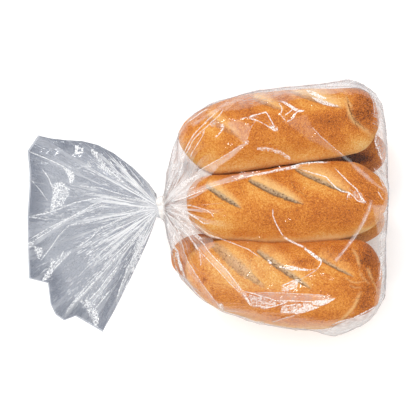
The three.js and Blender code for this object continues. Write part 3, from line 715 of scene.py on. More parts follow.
# What the picture shows of the film over the rolls, in pixels. A crease is the line it runs along, its half
# width in mm, how white its painted highlight is and how far it stands up in mm. A glint, a veil or a crumple
# is its outline and how white it is painted. The rest are round: a middle, a reach and an amount.
bodyMarks = {
    # the edge of the filled bag, from the tie over the top and round by the closed end
    "outline": [
        (160.5, 196.5), (162.1, 193.9), (165.6, 179.8), (169.1, 165.8), (172.6, 149.6), (176.8, 138.4),
        (181.8, 127.9), (186.7, 121.6), (195.1, 113.9), (209.1, 105.4), (219.6, 100.5), (235, 96.8),
        (263, 89.8), (305, 85.6), (325, 83.9), (344.6, 80.3), (353.5, 79.1), (366.5, 81.5), (374.2, 88),
        (379.6, 97.5), (381.9, 107.6), (384.3, 122.4), (386.1, 137.2), (387.1, 180), (388.5, 190),
        (386.6, 225), (385.1, 240), (385.1, 262), (385.8, 277), (385.1, 296.6), (382.1, 309.3),
        (370.1, 322), (356, 327.2), (343.3, 336.2), (329.9, 336.6), (318.7, 335.4), (288.7, 330.7),
        (266.7, 326.3), (252, 321.9), (230, 316), (206.4, 302), (193.2, 292.8), (184.9, 282.9),
        (179.1, 273.8), (172.4, 261.3), (169.1, 248.1), (166.6, 232.3), (164.1, 218.2), (160.5, 218),
    ],
    "creases": [
        # a triangle, a fork and an arc on the top roll
        ([(248.3, 118), (252.5, 116), (258, 114.4), (266, 112.6), (268, 115), (271.5, 121.4), (274, 126),
          (275.3, 129.8)], 0.5, 1.0, 0.6),
        ([(248.3, 118), (255, 120), (259, 121.4), (266, 125), (273, 129.8)], 0.55, 1.0, 0.6),
        ([(240.6, 118.6), (248, 117.5)], 0.35, 0.8, 0.2),
        ([(278.5, 103), (281.7, 107.4), (282, 110.2), (280.6, 114.4), (283, 118.2), (286, 121)], 0.4, 0.95,
          0.5),
        ([(284.8, 115.4), (290.4, 111.6), (293.2, 108.8)], 0.5, 1.0, 0.4),
        ([(286.2, 122), (291, 120), (294, 117.2), (296, 113), (299.5, 111)], 0.5, 1.0, 0.5),
        ([(257.4, 148), (268.7, 148.4), (272.2, 149.5), (277.8, 151.6), (283.4, 153), (288.3, 156.5),
          (291, 160)], 0.45, 0.8, 0.2),
        # two long kinks on the middle roll, and a branch between them
        ([(300, 169), (306, 171), (312, 173), (319.5, 175), (326, 177), (330, 181.5), (336, 188),
          (342, 191.5), (349, 192.5), (353, 196), (357.6, 201), (366.4, 203.6)], 0.5, 1.0, 0.7),
        ([(334, 167.4), (339.6, 173.4), (345.6, 179.5), (351.6, 185), (356.3, 189), (359.7, 195.5),
          (362, 198.2), (366.4, 203.2)], 0.5, 1.0, 0.7),
        ([(349, 192.5), (347.6, 195.5), (347, 199.6)], 0.45, 0.95, 0.3),
        # the ridge along the gap between the top and middle rolls, one beside it, and one down to it
        ([(238, 179), (255, 175), (275, 170.5), (290, 167.2), (297, 165), (303.4, 163.4), (318, 162.2),
          (330, 162.6)], 0.62, 1.0, 1.0),
        ([(262, 174.6), (280, 170.8), (292, 168.6), (300, 167.6)], 0.35, 0.75, 0.4),
        ([(311, 126), (320, 136), (333, 147), (345, 157)], 0.4, 0.5, 0.3),
        # long folds from the neck over the top roll, short ones on its left end, and one along its far edge
        ([(173, 198), (198, 190), (221, 184), (245, 178)], 0.45, 0.6, 0.7),
        ([(167, 195), (188, 183), (199, 171), (220, 159), (235, 149.5), (246, 142.4)], 0.45, 0.7, 0.9),
        ([(246, 142.4), (251, 127), (256, 121)], 0.3, 0.4, 0.2),
        ([(169, 183), (181, 160), (188, 145), (194, 135), (202, 126.5), (209, 119.5), (216, 113),
          (224.5, 107.5)], 0.5, 0.75, 0.8),
        ([(224.5, 107.5), (220.3, 114.6), (210.5, 123.7), (201.4, 131.4), (193, 140.5), (188, 151),
          (184.6, 156.6)], 0.5, 0.7, 0.5),
        ([(205, 129), (203, 135.6), (198, 144), (192, 153), (190, 158.7)], 0.4, 0.8, 0.4),
        ([(186.7, 123.7), (196.5, 116.7), (202, 112.4), (208.4, 109)], 0.5, 0.95, 0.4),
        ([(215.4, 137.7), (219.6, 133.5), (223.2, 128), (224, 125)], 0.6, 0.9, 0.3),
        ([(240, 99.5), (262, 95), (285, 93), (300, 93.5)], 0.45, 0.35, 0.3),
        # the middle roll's right end, and a fold from there down to the bottom roll
        ([(373, 168), (377.7, 173.4), (381, 182), (384, 187.5)], 0.4, 0.65, 0.3),
        ([(377.7, 191.5), (383, 200)], 0.4, 0.7, 0.3),
        ([(371.7, 200), (368, 212), (362, 225), (354, 238.4), (345, 249.6), (336, 261)], 0.45, 0.6, 0.8),
        # the crooked fold from the middle roll to the bottom one
        ([(272.8, 208.6), (272.8, 215.6), (276.3, 224.4), (283.3, 236.7)], 0.45, 1.0, 0.5),
        ([(283.3, 236.7), (290.4, 241), (297, 244.2), (304.4, 247.5)], 0.75, 1.0, 0.7),
        ([(321, 259.5), (321, 263.2), (317.3, 269)], 0.45, 0.95, 0.4),
        ([(317.3, 269), (310.7, 273.5), (300.4, 279.3), (292, 283.5)], 0.4, 0.5, 0.4),
        # the bright wedge on the bottom roll, and the small folds beside it
        ([(242.5, 291), (255.7, 294), (261.5, 296.2), (270.3, 298.4), (277, 300.6), (288.7, 300.6),
          (310.7, 301.3), (325.3, 300), (335.6, 298)], 0.55, 1.0, 0.6),
        ([(252, 306.5), (259.3, 305.7), (267.4, 307.2), (275.5, 305.7), (282.8, 303.5), (288.7, 301.3)],
          0.55, 1.0, 0.5),
        ([(247.6, 296), (255, 299), (263.7, 302.8), (275.5, 304.3)], 0.45, 0.9, 0.3),
        ([(280.6, 312.3), (282.8, 307.2), (287.2, 305.7), (297, 304)], 0.5, 1.0, 0.3),
        ([(280.6, 312.3), (290, 311.5), (299, 313)], 0.5, 1.0, 0.3),
        ([(280.6, 291), (287.2, 289), (296, 288), (297, 285.2), (297.5, 279.3), (292.3, 280.8),
          (288.7, 283), (281.3, 285.2)], 0.5, 1.0, 0.4),
        ([(281.3, 285.2), (285, 287.5), (289, 285.5), (293, 284), (296, 286)], 0.45, 1.0, 0.2),
        ([(255.7, 292.5), (270.3, 292.5), (292.3, 293.3), (318, 294.7), (334, 297)], 0.4, 0.6, 0.4),
        # long folds from the neck down over the bottom roll
        ([(168.3, 206.6), (191.5, 205.8), (206.4, 210), (211.4, 213.2), (214.7, 219)], 0.4, 0.75, 0.5),
        ([(176.6, 208.3), (187.4, 213.2), (194.8, 217.4), (203, 223.2), (211.4, 223.2)], 0.4, 0.8, 0.4),
        ([(176.6, 210.8), (187.4, 217.4), (197.3, 225.7), (209.8, 234.8), (219.7, 238), (248, 249),
          (262, 259)], 0.45, 0.7, 0.7),
        ([(172.4, 211.6), (187.4, 225.7), (203, 243), (213, 256.4), (226.3, 269.6), (238.8, 286),
          (249.6, 302)], 0.45, 0.9, 1.1),
        ([(170, 213), (185, 230), (197.3, 247), (206.4, 258), (218, 270), (227, 280), (243, 296)], 0.4,
          0.75, 0.5),
        ([(166.6, 214), (176.6, 226.5), (183.2, 246.4), (188.2, 261.3), (197.3, 275.4), (206.4, 288.7),
          (218, 303.6), (224.7, 311)], 0.4, 0.7, 0.8),
        ([(187.4, 226), (195, 236), (206, 245)], 0.4, 0.7, 0.4),
        # short bright lines below the neck
        ([(167.5, 217), (168.7, 222), (169.3, 228), (170, 235), (170.6, 240), (172, 244.5)], 0.75, 1.0,
          0.6),
        ([(173.8, 230), (174.3, 238), (173.8, 244)], 0.55, 0.95, 0.4),
        ([(175.4, 224), (177.5, 229), (179.5, 232.5), (181.5, 234)], 0.55, 1.0, 0.5),
        ([(174, 217), (176.5, 220), (179, 222.5), (182, 227), (184, 230)], 0.4, 0.8, 0.5),
        ([(168, 208.5), (171, 211), (176, 216), (181, 221), (184.5, 224.5), (188, 226.5)], 0.5, 0.85, 0.6),
        ([(174, 207), (180, 210.5), (184, 214), (188, 218), (191, 222), (194, 224)], 0.55, 0.85, 0.6),
        ([(172, 206.4), (180, 208), (185, 210.8), (190, 213.5), (194, 216), (199, 219.3), (203, 222.5),
          (207, 224)], 0.6, 1.0, 0.7),
        ([(184, 224), (186, 226), (189, 229), (193, 233), (195.5, 235)], 0.4, 0.85, 0.4),
        ([(176, 224), (180, 228), (183, 230.5), (187, 234), (191, 239), (194, 243.5), (197, 248),
          (199.5, 251)], 0.5, 0.95, 0.6),
        ([(185, 222), (189, 226), (193, 230), (198, 235), (203, 240)], 0.45, 0.8, 0.5),
        ([(167, 210), (169.5, 215), (172, 220), (174.5, 226), (175, 231)], 0.4, 0.6, 0.4),
        # short bright lines above the neck, and a few straight out from it
        ([(166, 193), (167, 187), (169, 181), (171, 176), (172.8, 170), (172.6, 163), (173.6, 157),
          (175, 149), (176.6, 141)], 0.6, 0.9, 0.6),
        ([(167, 195), (169.4, 188), (171.2, 182.5), (172.4, 177), (174, 171.5)], 0.5, 1.0, 0.5),
        ([(169, 196), (171, 192), (173, 187), (174.8, 182), (176.3, 177), (177.6, 172)], 0.4, 0.75, 0.5),
        ([(170, 197), (173, 192), (176, 187), (178.4, 181), (180, 176), (181.2, 171), (182.6, 166),
          (184.4, 160)], 0.45, 0.85, 0.6),
        ([(178, 168), (179.2, 163.6), (180.8, 158), (182.6, 152.6)], 0.4, 0.7, 0.4),
        ([(181.8, 162.2), (183.4, 158), (186, 153.6)], 0.5, 0.8, 0.4),
        ([(169, 198), (174, 194.3), (180, 190), (185, 186.3), (190, 181.6), (197, 175.2)], 0.5, 0.9, 0.6),
        ([(171, 198.4), (174.5, 196.6), (180, 193.6), (186, 191), (191, 188.4), (197, 186.4)], 0.45, 0.9,
          0.5),
        ([(170, 201.6), (175, 200.6), (181, 199), (186, 197.4), (192, 194.6), (199, 192), (206, 189.8)],
          0.6, 1.0, 0.6),
        ([(169, 205), (178, 204.8), (186, 205.8), (193, 205.4)], 0.6, 0.8, 0.4),
        ([(169, 206.6), (177, 209.4), (183.5, 213.4), (187, 215.6)], 0.35, 0.6, 0.4),
        # the left edge below the neck
        ([(170.8, 246.4), (174, 258), (177.4, 269.6), (182.4, 280.4), (190.7, 291)], 0.4, 0.8, 0.4),
        ([(199.8, 251.4), (201.5, 263), (200.5, 266)], 0.35, 0.7, 0.2),
        # down the closed end
        ([(376, 134.3), (374.8, 142.6), (378.4, 151), (382, 161)], 0.6, 0.95, 0.5),
        ([(381, 126.6), (384, 129)], 0.5, 0.9, 0.2),
        ([(372, 92), (376, 104), (379, 118), (381, 130)], 0.45, 0.85, 0.4),
        ([(378, 96), (381.5, 108), (383.5, 122), (385.5, 140), (386.3, 165)], 0.45, 0.9, 0.4),
        ([(369, 92), (373, 104), (375, 116)], 0.35, 0.6, 0.3),
        ([(374, 88), (377.5, 98), (380, 112)], 0.4, 0.8, 0.3),
        ([(380, 255), (380.8, 264), (380.4, 272), (379.2, 281)], 0.55, 0.95, 0.4),
        ([(382, 225), (381, 245), (382.5, 262), (384, 280)], 0.4, 0.6, 0.4),
        # along the bottom edge
        ([(331, 325.5), (338, 322), (346, 319.6), (354, 317), (362, 313.4), (370, 309.4), (377, 305)], 0.5,
          0.9, 0.4),
        ([(271, 322), (288.7, 316.7), (296, 314.5)], 0.45, 0.65, 0.4),
        ([(230, 316), (252, 320.5), (266, 322.5)], 0.5, 0.6, 0.4),
        ([(258, 326), (290, 329), (310, 330)], 0.5, 0.5, 0.4),
        ([(320, 334), (330, 331), (340, 326), (350, 323)], 0.6, 0.7, 0.5),
        ([(352, 326), (366, 321), (378, 311)], 0.5, 0.7, 0.4),
        # the far corner of the closed end
        ([(343, 85.6), (352, 82.6), (358, 82), (366, 85), (373, 91), (378, 99)], 0.55, 0.9, 0.5),
        ([(336, 84.5), (350, 86.5), (362, 86)], 0.45, 0.6, 0.3),
    ],
    "glints": [
        ([(277, 101), (283, 101.3), (290, 104.4), (295, 107.6), (300.5, 110), (305.5, 110.9), (300, 112.2),
          (297, 111.8), (293, 109.8), (288, 106.3), (283, 103)], 1.0),
        ([(305, 90.3), (309.5, 90.8), (316, 92.8), (322, 95.8), (327, 98.4), (324, 99.3), (319.5, 98.3),
          (313.5, 95.8), (308, 93.2)], 1.0),
        ([(310, 96.8), (316, 98), (325, 100.8), (333, 104.2), (340, 106.5), (331.5, 106.4), (322.5, 104.3),
          (316.5, 101.3)], 0.8),
        ([(359.3, 194.6), (361.8, 198), (367, 203.7), (362, 201), (359.8, 198)], 1.0),
        ([(304, 247), (308.5, 249.6), (313.5, 253.2), (321.5, 259.5), (321, 262), (315, 258), (309, 253.2),
          (304, 249.4)], 1.0),
        ([(281, 267.6), (292.3, 265.8), (300.4, 268), (309.2, 269.5), (317.3, 269), (308, 271),
          (300.4, 270.3), (291, 270.2)], 0.95),
        ([(310, 301.3), (325.3, 299.9), (335.8, 297.8), (327.5, 303.7), (322.4, 305.6), (315.8, 304.5)],
          1.0),
        ([(307.7, 302.6), (318.2, 307.9), (304, 312.5), (296, 313.2), (287, 311.2), (292, 310.3),
          (300, 309)], 0.9),
        ([(177.2, 253), (180, 253), (180.6, 260), (182.2, 265), (183.2, 270), (181, 271), (178.6, 265),
          (177.8, 259)], 1.0),
        ([(182.6, 271.5), (184.8, 272.4), (185.2, 277.5), (183.6, 276)], 0.95),
        ([(170.6, 243), (173, 244.6), (176.6, 246.4), (179.8, 251.8), (178.6, 252.6), (175, 248.8),
          (171.4, 246.6)], 1.0),
        ([(180.5, 183), (184, 180.6), (188, 179), (192, 177.2), (197, 174.4), (198, 175.6), (192.4, 180),
          (188, 183.4), (184.6, 186.6), (181.4, 186)], 0.95),
        ([(172, 164), (175.3, 164.6), (175, 170), (173, 174), (171.2, 173.6), (171, 168)], 0.9),
        ([(177.7, 170.2), (179.5, 170.6), (179.2, 173), (177.4, 173)], 0.8),
        ([(173.5, 143), (177.5, 144), (177, 149.5), (174.4, 150.6)], 0.55),
        ([(242.8, 291), (248.3, 299.2), (252.6, 306.7), (249.3, 304.8), (244.6, 297.5)], 0.95),
        ([(272.7, 125.5), (275.7, 129.9), (272.2, 130.2), (269.5, 127.3)], 1.0),
        ([(276.2, 126.6), (278.2, 128), (277.8, 130.2), (276, 130)], 1.0),
        ([(217.6, 302.6), (220.2, 303.5), (225, 311.2), (221.3, 308.8)], 0.9),
        ([(244.5, 141.8), (247, 141.5), (246.8, 144), (245, 143.5)], 0.9),
        ([(292, 166.3), (298, 164.3), (299, 166), (292, 168.3)], 0.9),
        ([(209, 124), (214, 121.5), (216, 124), (212, 127)], 0.45),
        ([(220.5, 124.5), (223.4, 123.5), (223.6, 126.5), (221.5, 128)], 0.8),
        ([(266.5, 259.5), (269, 260), (272.5, 263.5), (271, 264.5), (268, 262)], 0.9),
        ([(352, 80.5), (362, 80.2), (370, 84), (366, 85.5), (357, 83)], 0.85),
        ([(367, 87.5), (373.5, 91), (377.5, 99), (375, 97.5), (370, 92)], 0.8),
        ([(175.6, 252), (176.8, 252), (177, 257), (176, 257)], 0.8),
    ],
    "veils": [
        ([(167, 195), (188, 183), (199, 171), (220, 159), (235, 149), (245, 142.5), (247, 144),
          (235, 155.5), (220, 166), (212, 174.5), (190, 188)], 0.38),
        ([(226, 123), (238, 119), (251, 126), (247, 142), (243, 144), (236, 136)], 0.2),
        ([(225, 101), (255, 94), (290, 90), (325, 88.5), (343, 88), (343, 93), (325, 95), (300, 99),
          (270, 103), (240, 110), (222, 112)], 0.16),
        ([(172, 196), (192, 189.5), (212, 182), (232, 176), (245, 173), (258, 172), (262, 172.5),
          (248, 177.5), (235, 181), (219, 185.5), (205, 190.5), (188, 196.5), (174, 200)], 0.38),
        ([(283, 121), (307, 114), (311.5, 126), (321, 136), (333, 147), (344, 156), (340, 156),
          (319, 144.5), (309, 140), (294, 129)], 0.1),
        ([(341, 154), (345.5, 156), (357, 166), (366, 173.5), (374.5, 182), (384, 189), (387, 193),
          (379, 188), (369, 181.5), (357, 171.5), (349, 162), (343, 157)], 0.34),
        ([(190, 124), (199, 119.5), (209, 113), (223, 104), (240, 97.5), (240, 102), (225, 107), (213, 114),
          (202, 121), (194, 126.5)], 0.34),
        ([(176, 210), (187, 217), (197, 225), (210, 234), (220, 238), (212, 238), (200, 231), (188, 222),
          (177, 213)], 0.42),
        ([(172, 211), (187, 225), (203, 242), (213, 255), (226, 268), (239, 285), (249.5, 300), (251, 306),
          (244, 299), (233, 285), (219, 270), (207, 257), (196, 244), (182, 228), (170, 214)], 0.3),
        ([(167, 214), (177, 226), (184, 246), (189, 261), (198, 275), (207, 288), (219, 303), (225, 311),
          (219, 309), (208, 297), (196, 282), (187, 270), (181, 255), (174, 233)], 0.2),
        ([(196, 236), (212, 238), (216, 246), (205, 252), (196, 246)], 0.25),
        ([(377, 93), (381, 108), (384, 128), (386, 160), (387.5, 190), (383, 186), (381, 160), (379, 135),
          (376, 113), (372, 98)], 0.38),
        ([(373, 200), (370, 212), (363, 226), (355, 239), (346, 250.5), (336.5, 262), (334, 260),
          (344, 248), (352, 237), (360, 224), (366, 211), (370, 200)], 0.38),
        ([(230, 314.5), (252, 319), (274, 320), (296, 315), (310, 316), (330, 324), (318, 329), (290, 329),
          (266, 325), (249, 321)], 0.06),
        ([(243, 291), (256, 292.5), (270, 292.5), (292, 293.3), (318, 294.7), (334, 297), (325, 299.5),
          (310, 301), (289, 300.3), (277, 300), (262, 296), (250, 293)], 0.3),
        ([(235, 97), (263, 90.5), (290, 87.5), (320, 85), (335, 83), (335, 88), (320, 91), (305, 92.5),
          (280, 96), (262, 100), (240, 106)], 0.32),
        ([(336, 325), (352, 317.5), (367, 313), (382, 300), (384, 297), (382, 309), (377, 315), (370, 322),
          (356, 327), (348, 331), (343, 336), (330, 336), (318, 335)], 1.0),
        ([(335, 82.5), (345, 80.5), (354, 79.3), (361, 79.5), (367, 82), (374, 88), (372, 92), (360, 88.5),
          (343, 88.5)], 0.2),
        ([(162.5, 194), (166, 180), (169, 166), (173, 150), (177, 139), (180, 140), (178, 152), (176, 165),
          (174, 178), (170, 190)], 0.42),
        ([(164.5, 218), (167, 232), (169, 240), (172, 240), (171.5, 230), (170, 216)], 0.42),
        ([(372, 205), (387, 205), (386, 240), (385, 290), (378, 298), (381, 270), (380, 245), (376, 225)],
          0.26),
    ],
    "crumples": [
        ([(249, 294.5), (262, 297), (276, 301), (275.5, 307), (262, 308.5), (252, 305.5)], 0.75),
        ([(280.5, 312.5), (283, 306), (296, 303.5), (318, 301.5), (322, 306), (300, 312.5), (290, 313.5)],
          0.9),
        ([(280.5, 290.5), (285.5, 286), (297, 279.5), (297.3, 287.5), (288, 290.5)], 0.9),
        ([(243.5, 140.8), (249, 141), (248, 145), (244.5, 145)], 0.7),
        ([(217, 302.5), (222, 303), (226, 311.5), (221, 310.5)], 0.7),
        ([(257, 147), (272, 147.8), (281, 151), (291, 158), (289, 161), (282, 155), (270, 151.3),
          (257, 150)], 0.6),
        ([(210, 122), (216, 120), (224, 124), (221, 129), (213, 127)], 0.22),
        ([(270, 126), (277, 126), (279, 131), (273, 131)], 0.9),
        ([(354, 190), (361, 193), (366.5, 203), (360, 201), (352, 196)], 0.45),
        ([(362, 80.5), (374, 84), (377.5, 93), (370, 91), (361, 86)], 0.65),
        ([(338, 331), (350, 324), (366, 316.5), (368, 319), (358, 326.5), (346, 332.5), (338, 334.5)],
          0.75),
        ([(166, 182), (171, 152), (176, 146), (175, 166), (170, 188)], 0.45),
        ([(376, 133), (379, 140), (381, 152), (384, 160), (380, 160), (375.5, 148)], 0.5),
    ],
    "shatters": [
        ((172, 176), (9, 26), 0.6), ((183, 230), (12, 14), 0.5), ((182, 190), (16, 14), 0.35),
        ((350, 330), (30, 6), 0.4), ((378, 110), (6, 24), 0.4), ((382, 270), (4, 30), 0.35),
        ((240, 100), (50, 5), 0.35),
    ],
    # drawn smooth over a roll, where the film stays clear
    "taut": [
        ((177, 259), (10, 24), 1.0), ((187, 240), (8, 10), 0.7), ((290, 320), (72, 10), 0.95),
        ((376, 150), (9, 14), 0.5), ((345, 321), (28, 7), 0.8), ((377, 292), (5, 18), 0.8),
        ((220, 300), (26, 12), 0.8), ((188, 168), (7, 9), 0.5),
    ],
    # painted shade where clear folds show the shade under them, and darker film doubled along the outline
    "shades": [
        ((187, 167), (6, 9), 0.75), ((167, 231), (2.2, 14), 0.75), ((166, 185), (1.6, 10), 0.55),
        ((176, 202), (8, 1.7), 0.5), ((178, 222), (10, 8), 0.25), ((178, 177), (4, 8), 0.4),
        ((364, 84), (13, 5), 0.85), ((372, 89), (6, 4), 0.6), ((196, 246), (3, 5), 0.5),
        ((198, 170), (4, 2), 0.8), ((180, 226), (7, 9), 0.25), ((174, 184), (3, 7), 0.35),
    ],
    "hazy": [((232, 282), (52, 34), 0.85)],
}


filmSize = {
    "around": 420, "along": 208,  # squares
    "clear": 0.9 * mm,  # between the film and a roll's crust
    "neckHalf": (8.1 * mm, 5.5 * mm),
    "rowMm": 1.2, "overlapMm": 0.5,  # the rows inside the tie, and how far the first one runs past its middle
    "shown": (0.030, 0.046), "top": (0.055, 0.090),  # heights where it comes into view, and where it is top
    "bunched": ((0.42, 14 * mm, 52 * mm), (0.45, 5 * mm, 13 * mm)),  # ribs: amount, whole to here, gone here
    "pleatReach": (22 * mm, 88 * mm), "fanReach": (50 * mm, 85 * mm),
    "hanging": (4 * mm, 20 * mm),  # gap to the nearest roll where it begins to hang loose, and where it does
    "pleatHigh": 1.0 * mm, "ridgeHigh": 0.8 * mm, "crumpleHigh": 0.9 * mm, "lowest": 0.15 * mm,
    # the spine inside the bag that rays leave to find the film's place, how the sheet's length is shared
    # out between the shoulder, the spine and the closed end, and how steeply the rays turn to each
    "shoulder": 30 * mm, "end": 100 * mm, "spineHalf": 58 * mm, "spineHeight": 51 * mm,
    "shoulderShare": 0.40, "endShare": 0.72, "shoulderTurn": 81,
    "neckReach": 70 * mm, "endReach": 46 * mm, "shoulderHalf": 60 * mm,
    "halfWidth": 100 * mm, "halfHeight": 55 * mm,
}


def perimeter(u):
    # a point of the square from -1 to 1 for u from 0 to 1, from under the middle round by the near side;
    # the top, which shows, gets half of the length
    corners = np.array([0, 0.11, 0.25, 0.75, 0.89, 1])
    v = np.interp(u, corners, [0, -1, -1, 1, 1, 0])
    w = np.interp(u, corners, [-1, -1, 1, 1, -1, -1])
    return v, w


def rollHull():
    # what a taut film would touch: the rolls' outer hull
    bm = bmesh.new()
    for piece in rollPieces.values():
        for point in readPoints(piece.data)[::11]:
            bm.verts.new(point)
    hull = bmesh.ops.convex_hull(bm, input=bm.verts)
    spare = {g for g in hull["geom_interior"] + hull["geom_unused"] if isinstance(g, bmesh.types.BMVert)}
    bmesh.ops.delete(bm, geom=list(spare), context="VERTS")
    bm.normal_update()
    tree = BVHTree.FromBMesh(bm)
    bm.free()
    return tree


def meshTree(mesh):
    return BVHTree.FromPolygons([p.co for p in mesh.vertices], [tuple(p.vertices) for p in mesh.polygons])


def gridPiece(name, around, along, material):
    # a sheet of around x along squares; returns it with each vertex's share u around and v along
    bm = bmesh.new()
    bmesh.ops.create_grid(bm, x_segments=around, y_segments=along, size=0.5)
    piece = newPiece(name, bm, material)
    shares = readPoints(piece.data)[:, :2] + 0.5
    return piece, shares[:, 0], shares[:, 1]


def gridOrder(u, v, around, along):
    order = np.empty((along + 1, around + 1), int)
    order[np.rint(v * along).astype(int), np.rint(u * around).astype(int)] = np.arange(len(u))
    return order


def settle(points, order, rounds):
    # evens a tube's grid out, each point towards the middle of its four neighbours
    grid = points[order]
    for _ in range(rounds):
        side = grid[:, :-1]
        across = (np.roll(side, 1, 1) + np.roll(side, -1, 1)) / 2
        across = np.concatenate([across, across[:, :1]], axis=1)
        lengthwise = (grid[:-2] + grid[2:]) / 2
        grid[1:-1] = mix(grid[1:-1], (across[1:-1] + lengthwise) / 2, 0.7)
    points = points.copy()
    points[order] = grid
    return points


def keepWithin(film):
    # brings the film that the camera would see outside the bag's outline back to it
    outline = np.array(bodyMarks["outline"], float)
    film = film.copy()
    pixels = toPhoto(film)
    outside = np.flatnonzero((inOutline(pixels, outline) < 0) & (film[:, 0] > neck.x + 3 * mm))
    nearest, best = pixels[outside].copy(), np.full(len(outside), 1e9)
    for start, end in zip(outline, np.roll(outline, -1, axis=0)):
        share = np.clip((pixels[outside] - start) @ (end - start) / np.sum((end - start) ** 2), 0, 1)
        foot = start + share[:, None] * (end - start)
        away = np.linalg.norm(pixels[outside] - foot, axis=1)
        closer = away < best
        nearest[closer], best[closer] = foot[closer], away[closer]
    film[outside, :2] = fromPhoto(nearest, film[outside, 2])
    print("film brought within the outline", len(outside), "of", len(film), "points, by up to",
          round(float(best.max()), 1), "pixels")
    return film


def boxAround(outline, margin, pixels, shown):
    # the vertices that show within a margin, in pixels, of an outline's box
    outline = np.array(outline, float)
    inside = (pixels > outline.min(0) - margin) & (pixels < outline.max(0) + margin)
    return np.flatnonzero(np.all(inside, axis=1) & (shown > 0))


def patches(pixels, places):
    # soft round patches: each one's middle and reach in pixels and its amount
    total = np.zeros(len(pixels))
    for at, reach, amount in places:
        offset = (pixels - np.array(at)) / np.array(reach)
        total = np.maximum(total, amount * np.exp(-np.sum(offset**2, axis=1)))
    return total


def paintFilm(mesh, pixels, shown, marks):
    # paints the picture's creases, glints, veils, crumples and shatters where shown is 1, as whites that are
    # mostly painted highlights; returns how far the creases stand up and how crumpled the film is
    count, perPixel = len(pixels), photo["mmPerPixel"]
    fold, foldWhite, height = np.full(count, 9.0), np.zeros(count), np.zeros(count)
    for path, halfWidth, white, high in marks["creases"]:
        near = boxAround(path, 8, pixels, shown)
        if not len(near):
            continue
        away, along = distanceToPath(pixels[near], path)
        away = away * perPixel
        taper = smooth(along, -0.01, 0.10) * (1 - smooth(along, 0.9, 1.01))
        closer = np.abs(away) / halfWidth < np.abs(fold[near])
        here = near[closer]
        fold[here] = (away / halfWidth)[closer]
        foldWhite[here] = (white * taper * np.exp(-((away / 2.4) ** 2)))[closer]
        height[near] = np.maximum(height[near], high * taper * np.exp(-np.abs(away) * 0.9))
    paint(mesh, "fold", fold)
    paint(mesh, "foldWhite", foldWhite * shown)
    areas = {}
    for places, kind, margin in (("glints", "facet", 4), ("crumples", "crumple", 6)):
        inside, whiteness = np.full(count, -9.0), np.zeros(count)
        for outline, white in marks[places]:
            near = boxAround(outline, margin, pixels, shown)
            deep = inOutline(pixels[near], outline) * perPixel
            closer = deep > inside[near]
            inside[near[closer]], whiteness[near[closer]] = deep[closer], white
        paint(mesh, kind, inside)
        paint(mesh, kind + "White", whiteness * shown)
        areas[kind] = inside, whiteness
    veil = np.zeros(count)
    for outline, white in marks["veils"]:
        veil = np.maximum(veil, white * smooth(inOutline(pixels, outline), -0.5, 0.9))
    paint(mesh, "veil", 0.75 * veil * shown)
    shattered = np.zeros(count)
    for at, reach, white in marks["shatters"]:
        offset = (pixels - np.array(at)) / np.array(reach)
        shattered = np.maximum(shattered, white * (1 - smooth(np.sum(offset**2, axis=1), 0.3, 1.6)))
    paint(mesh, "shattered", shattered * shown)
    inside, whiteness = areas["crumple"]
    return height * shown, whiteness * shown * smooth(inside, -0.5, 1.5)


def closeSeam(mesh, within):
    bm = bmesh.new()
    bm.from_mesh(mesh)
    bmesh.ops.remove_doubles(bm, verts=bm.verts, dist=within)
    bmesh.ops.recalc_face_normals(bm, faces=bm.faces)
    bm.to_mesh(mesh)
    bm.free()


def castOnBag(u, v):
    # the sheet's first place: where rays from a spine inside the bag meet the CAD bag's form. v runs over
    # the shoulder to the spine's start, along the spine, then round to the closed end.
    size = filmSize
    sideV, sideW = perimeter(u)
    toShoulder = np.clip(1 - v / size["shoulderShare"], 0, 1)
    toEnd = np.clip((v - size["endShare"]) / (1 - size["endShare"]), 0, 1)
    spine = np.clip((v - size["shoulderShare"]) / (size["endShare"] - size["shoulderShare"]), 0, 1)
    turn = math.radians(size["shoulderTurn"]) * toShoulder**0.9
    endTurn = math.pi / 2 * toEnd
    flat = np.cos(turn) * np.cos(endTurn)
    origins = np.stack([
        mix(size["shoulder"], size["end"], spine),
        sideV * size["spineHalf"] * (1 - toShoulder**2),
        mix(size["spineHeight"], neck.z, toShoulder),
    ], axis=1)
    directions = np.stack([
        np.sin(endTurn) * size["endReach"] - np.sin(turn) * size["neckReach"],
        sideV * mix(size["halfWidth"] - size["spineHalf"], size["shoulderHalf"], toShoulder) * flat,
        sideW * size["halfHeight"] * flat,
    ], axis=1)
    tree = meshTree(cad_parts["bag"].data)
    points, missed = origins.copy(), 0
    for i, (origin, direction) in enumerate(zip(origins, directions)):
        hit = tree.ray_cast(Vector(origin), Vector(direction))[0]
        if hit:
            points[i] = hit
        else:
            missed += 1
    print("film cast on the bag's form, missed", missed)
    return points


def drawOverRolls(points, order):
    # draws the film tight over the rolls' hull where it shows and leaves it slacker at the sides and
    # underneath; returns it and how far each point counts as the top
    clear = filmSize["clear"]
    hull = rollHull()
    settled = settle(keepWithin(points), order, 6)
    away, tight = np.empty(len(points)), np.empty_like(points)
    for i, point in enumerate(settled):
        nearest, normal, _, _ = hull.find_nearest(Vector(point))
        away[i] = (Vector(point) - nearest).dot(normal)
        tight[i] = nearest + normal * clear
    top = smooth(settled[:, 2], *filmSize["top"]) * smooth(settled[:, 0], neck.x + 5 * mm, 0.03)
    slack = np.where(away < clear, 0, mix(1.0, 0.25, top))
    film = settle(mix(tight, settled, slack[:, None]), order, 3)
    return keepWithin(film), top


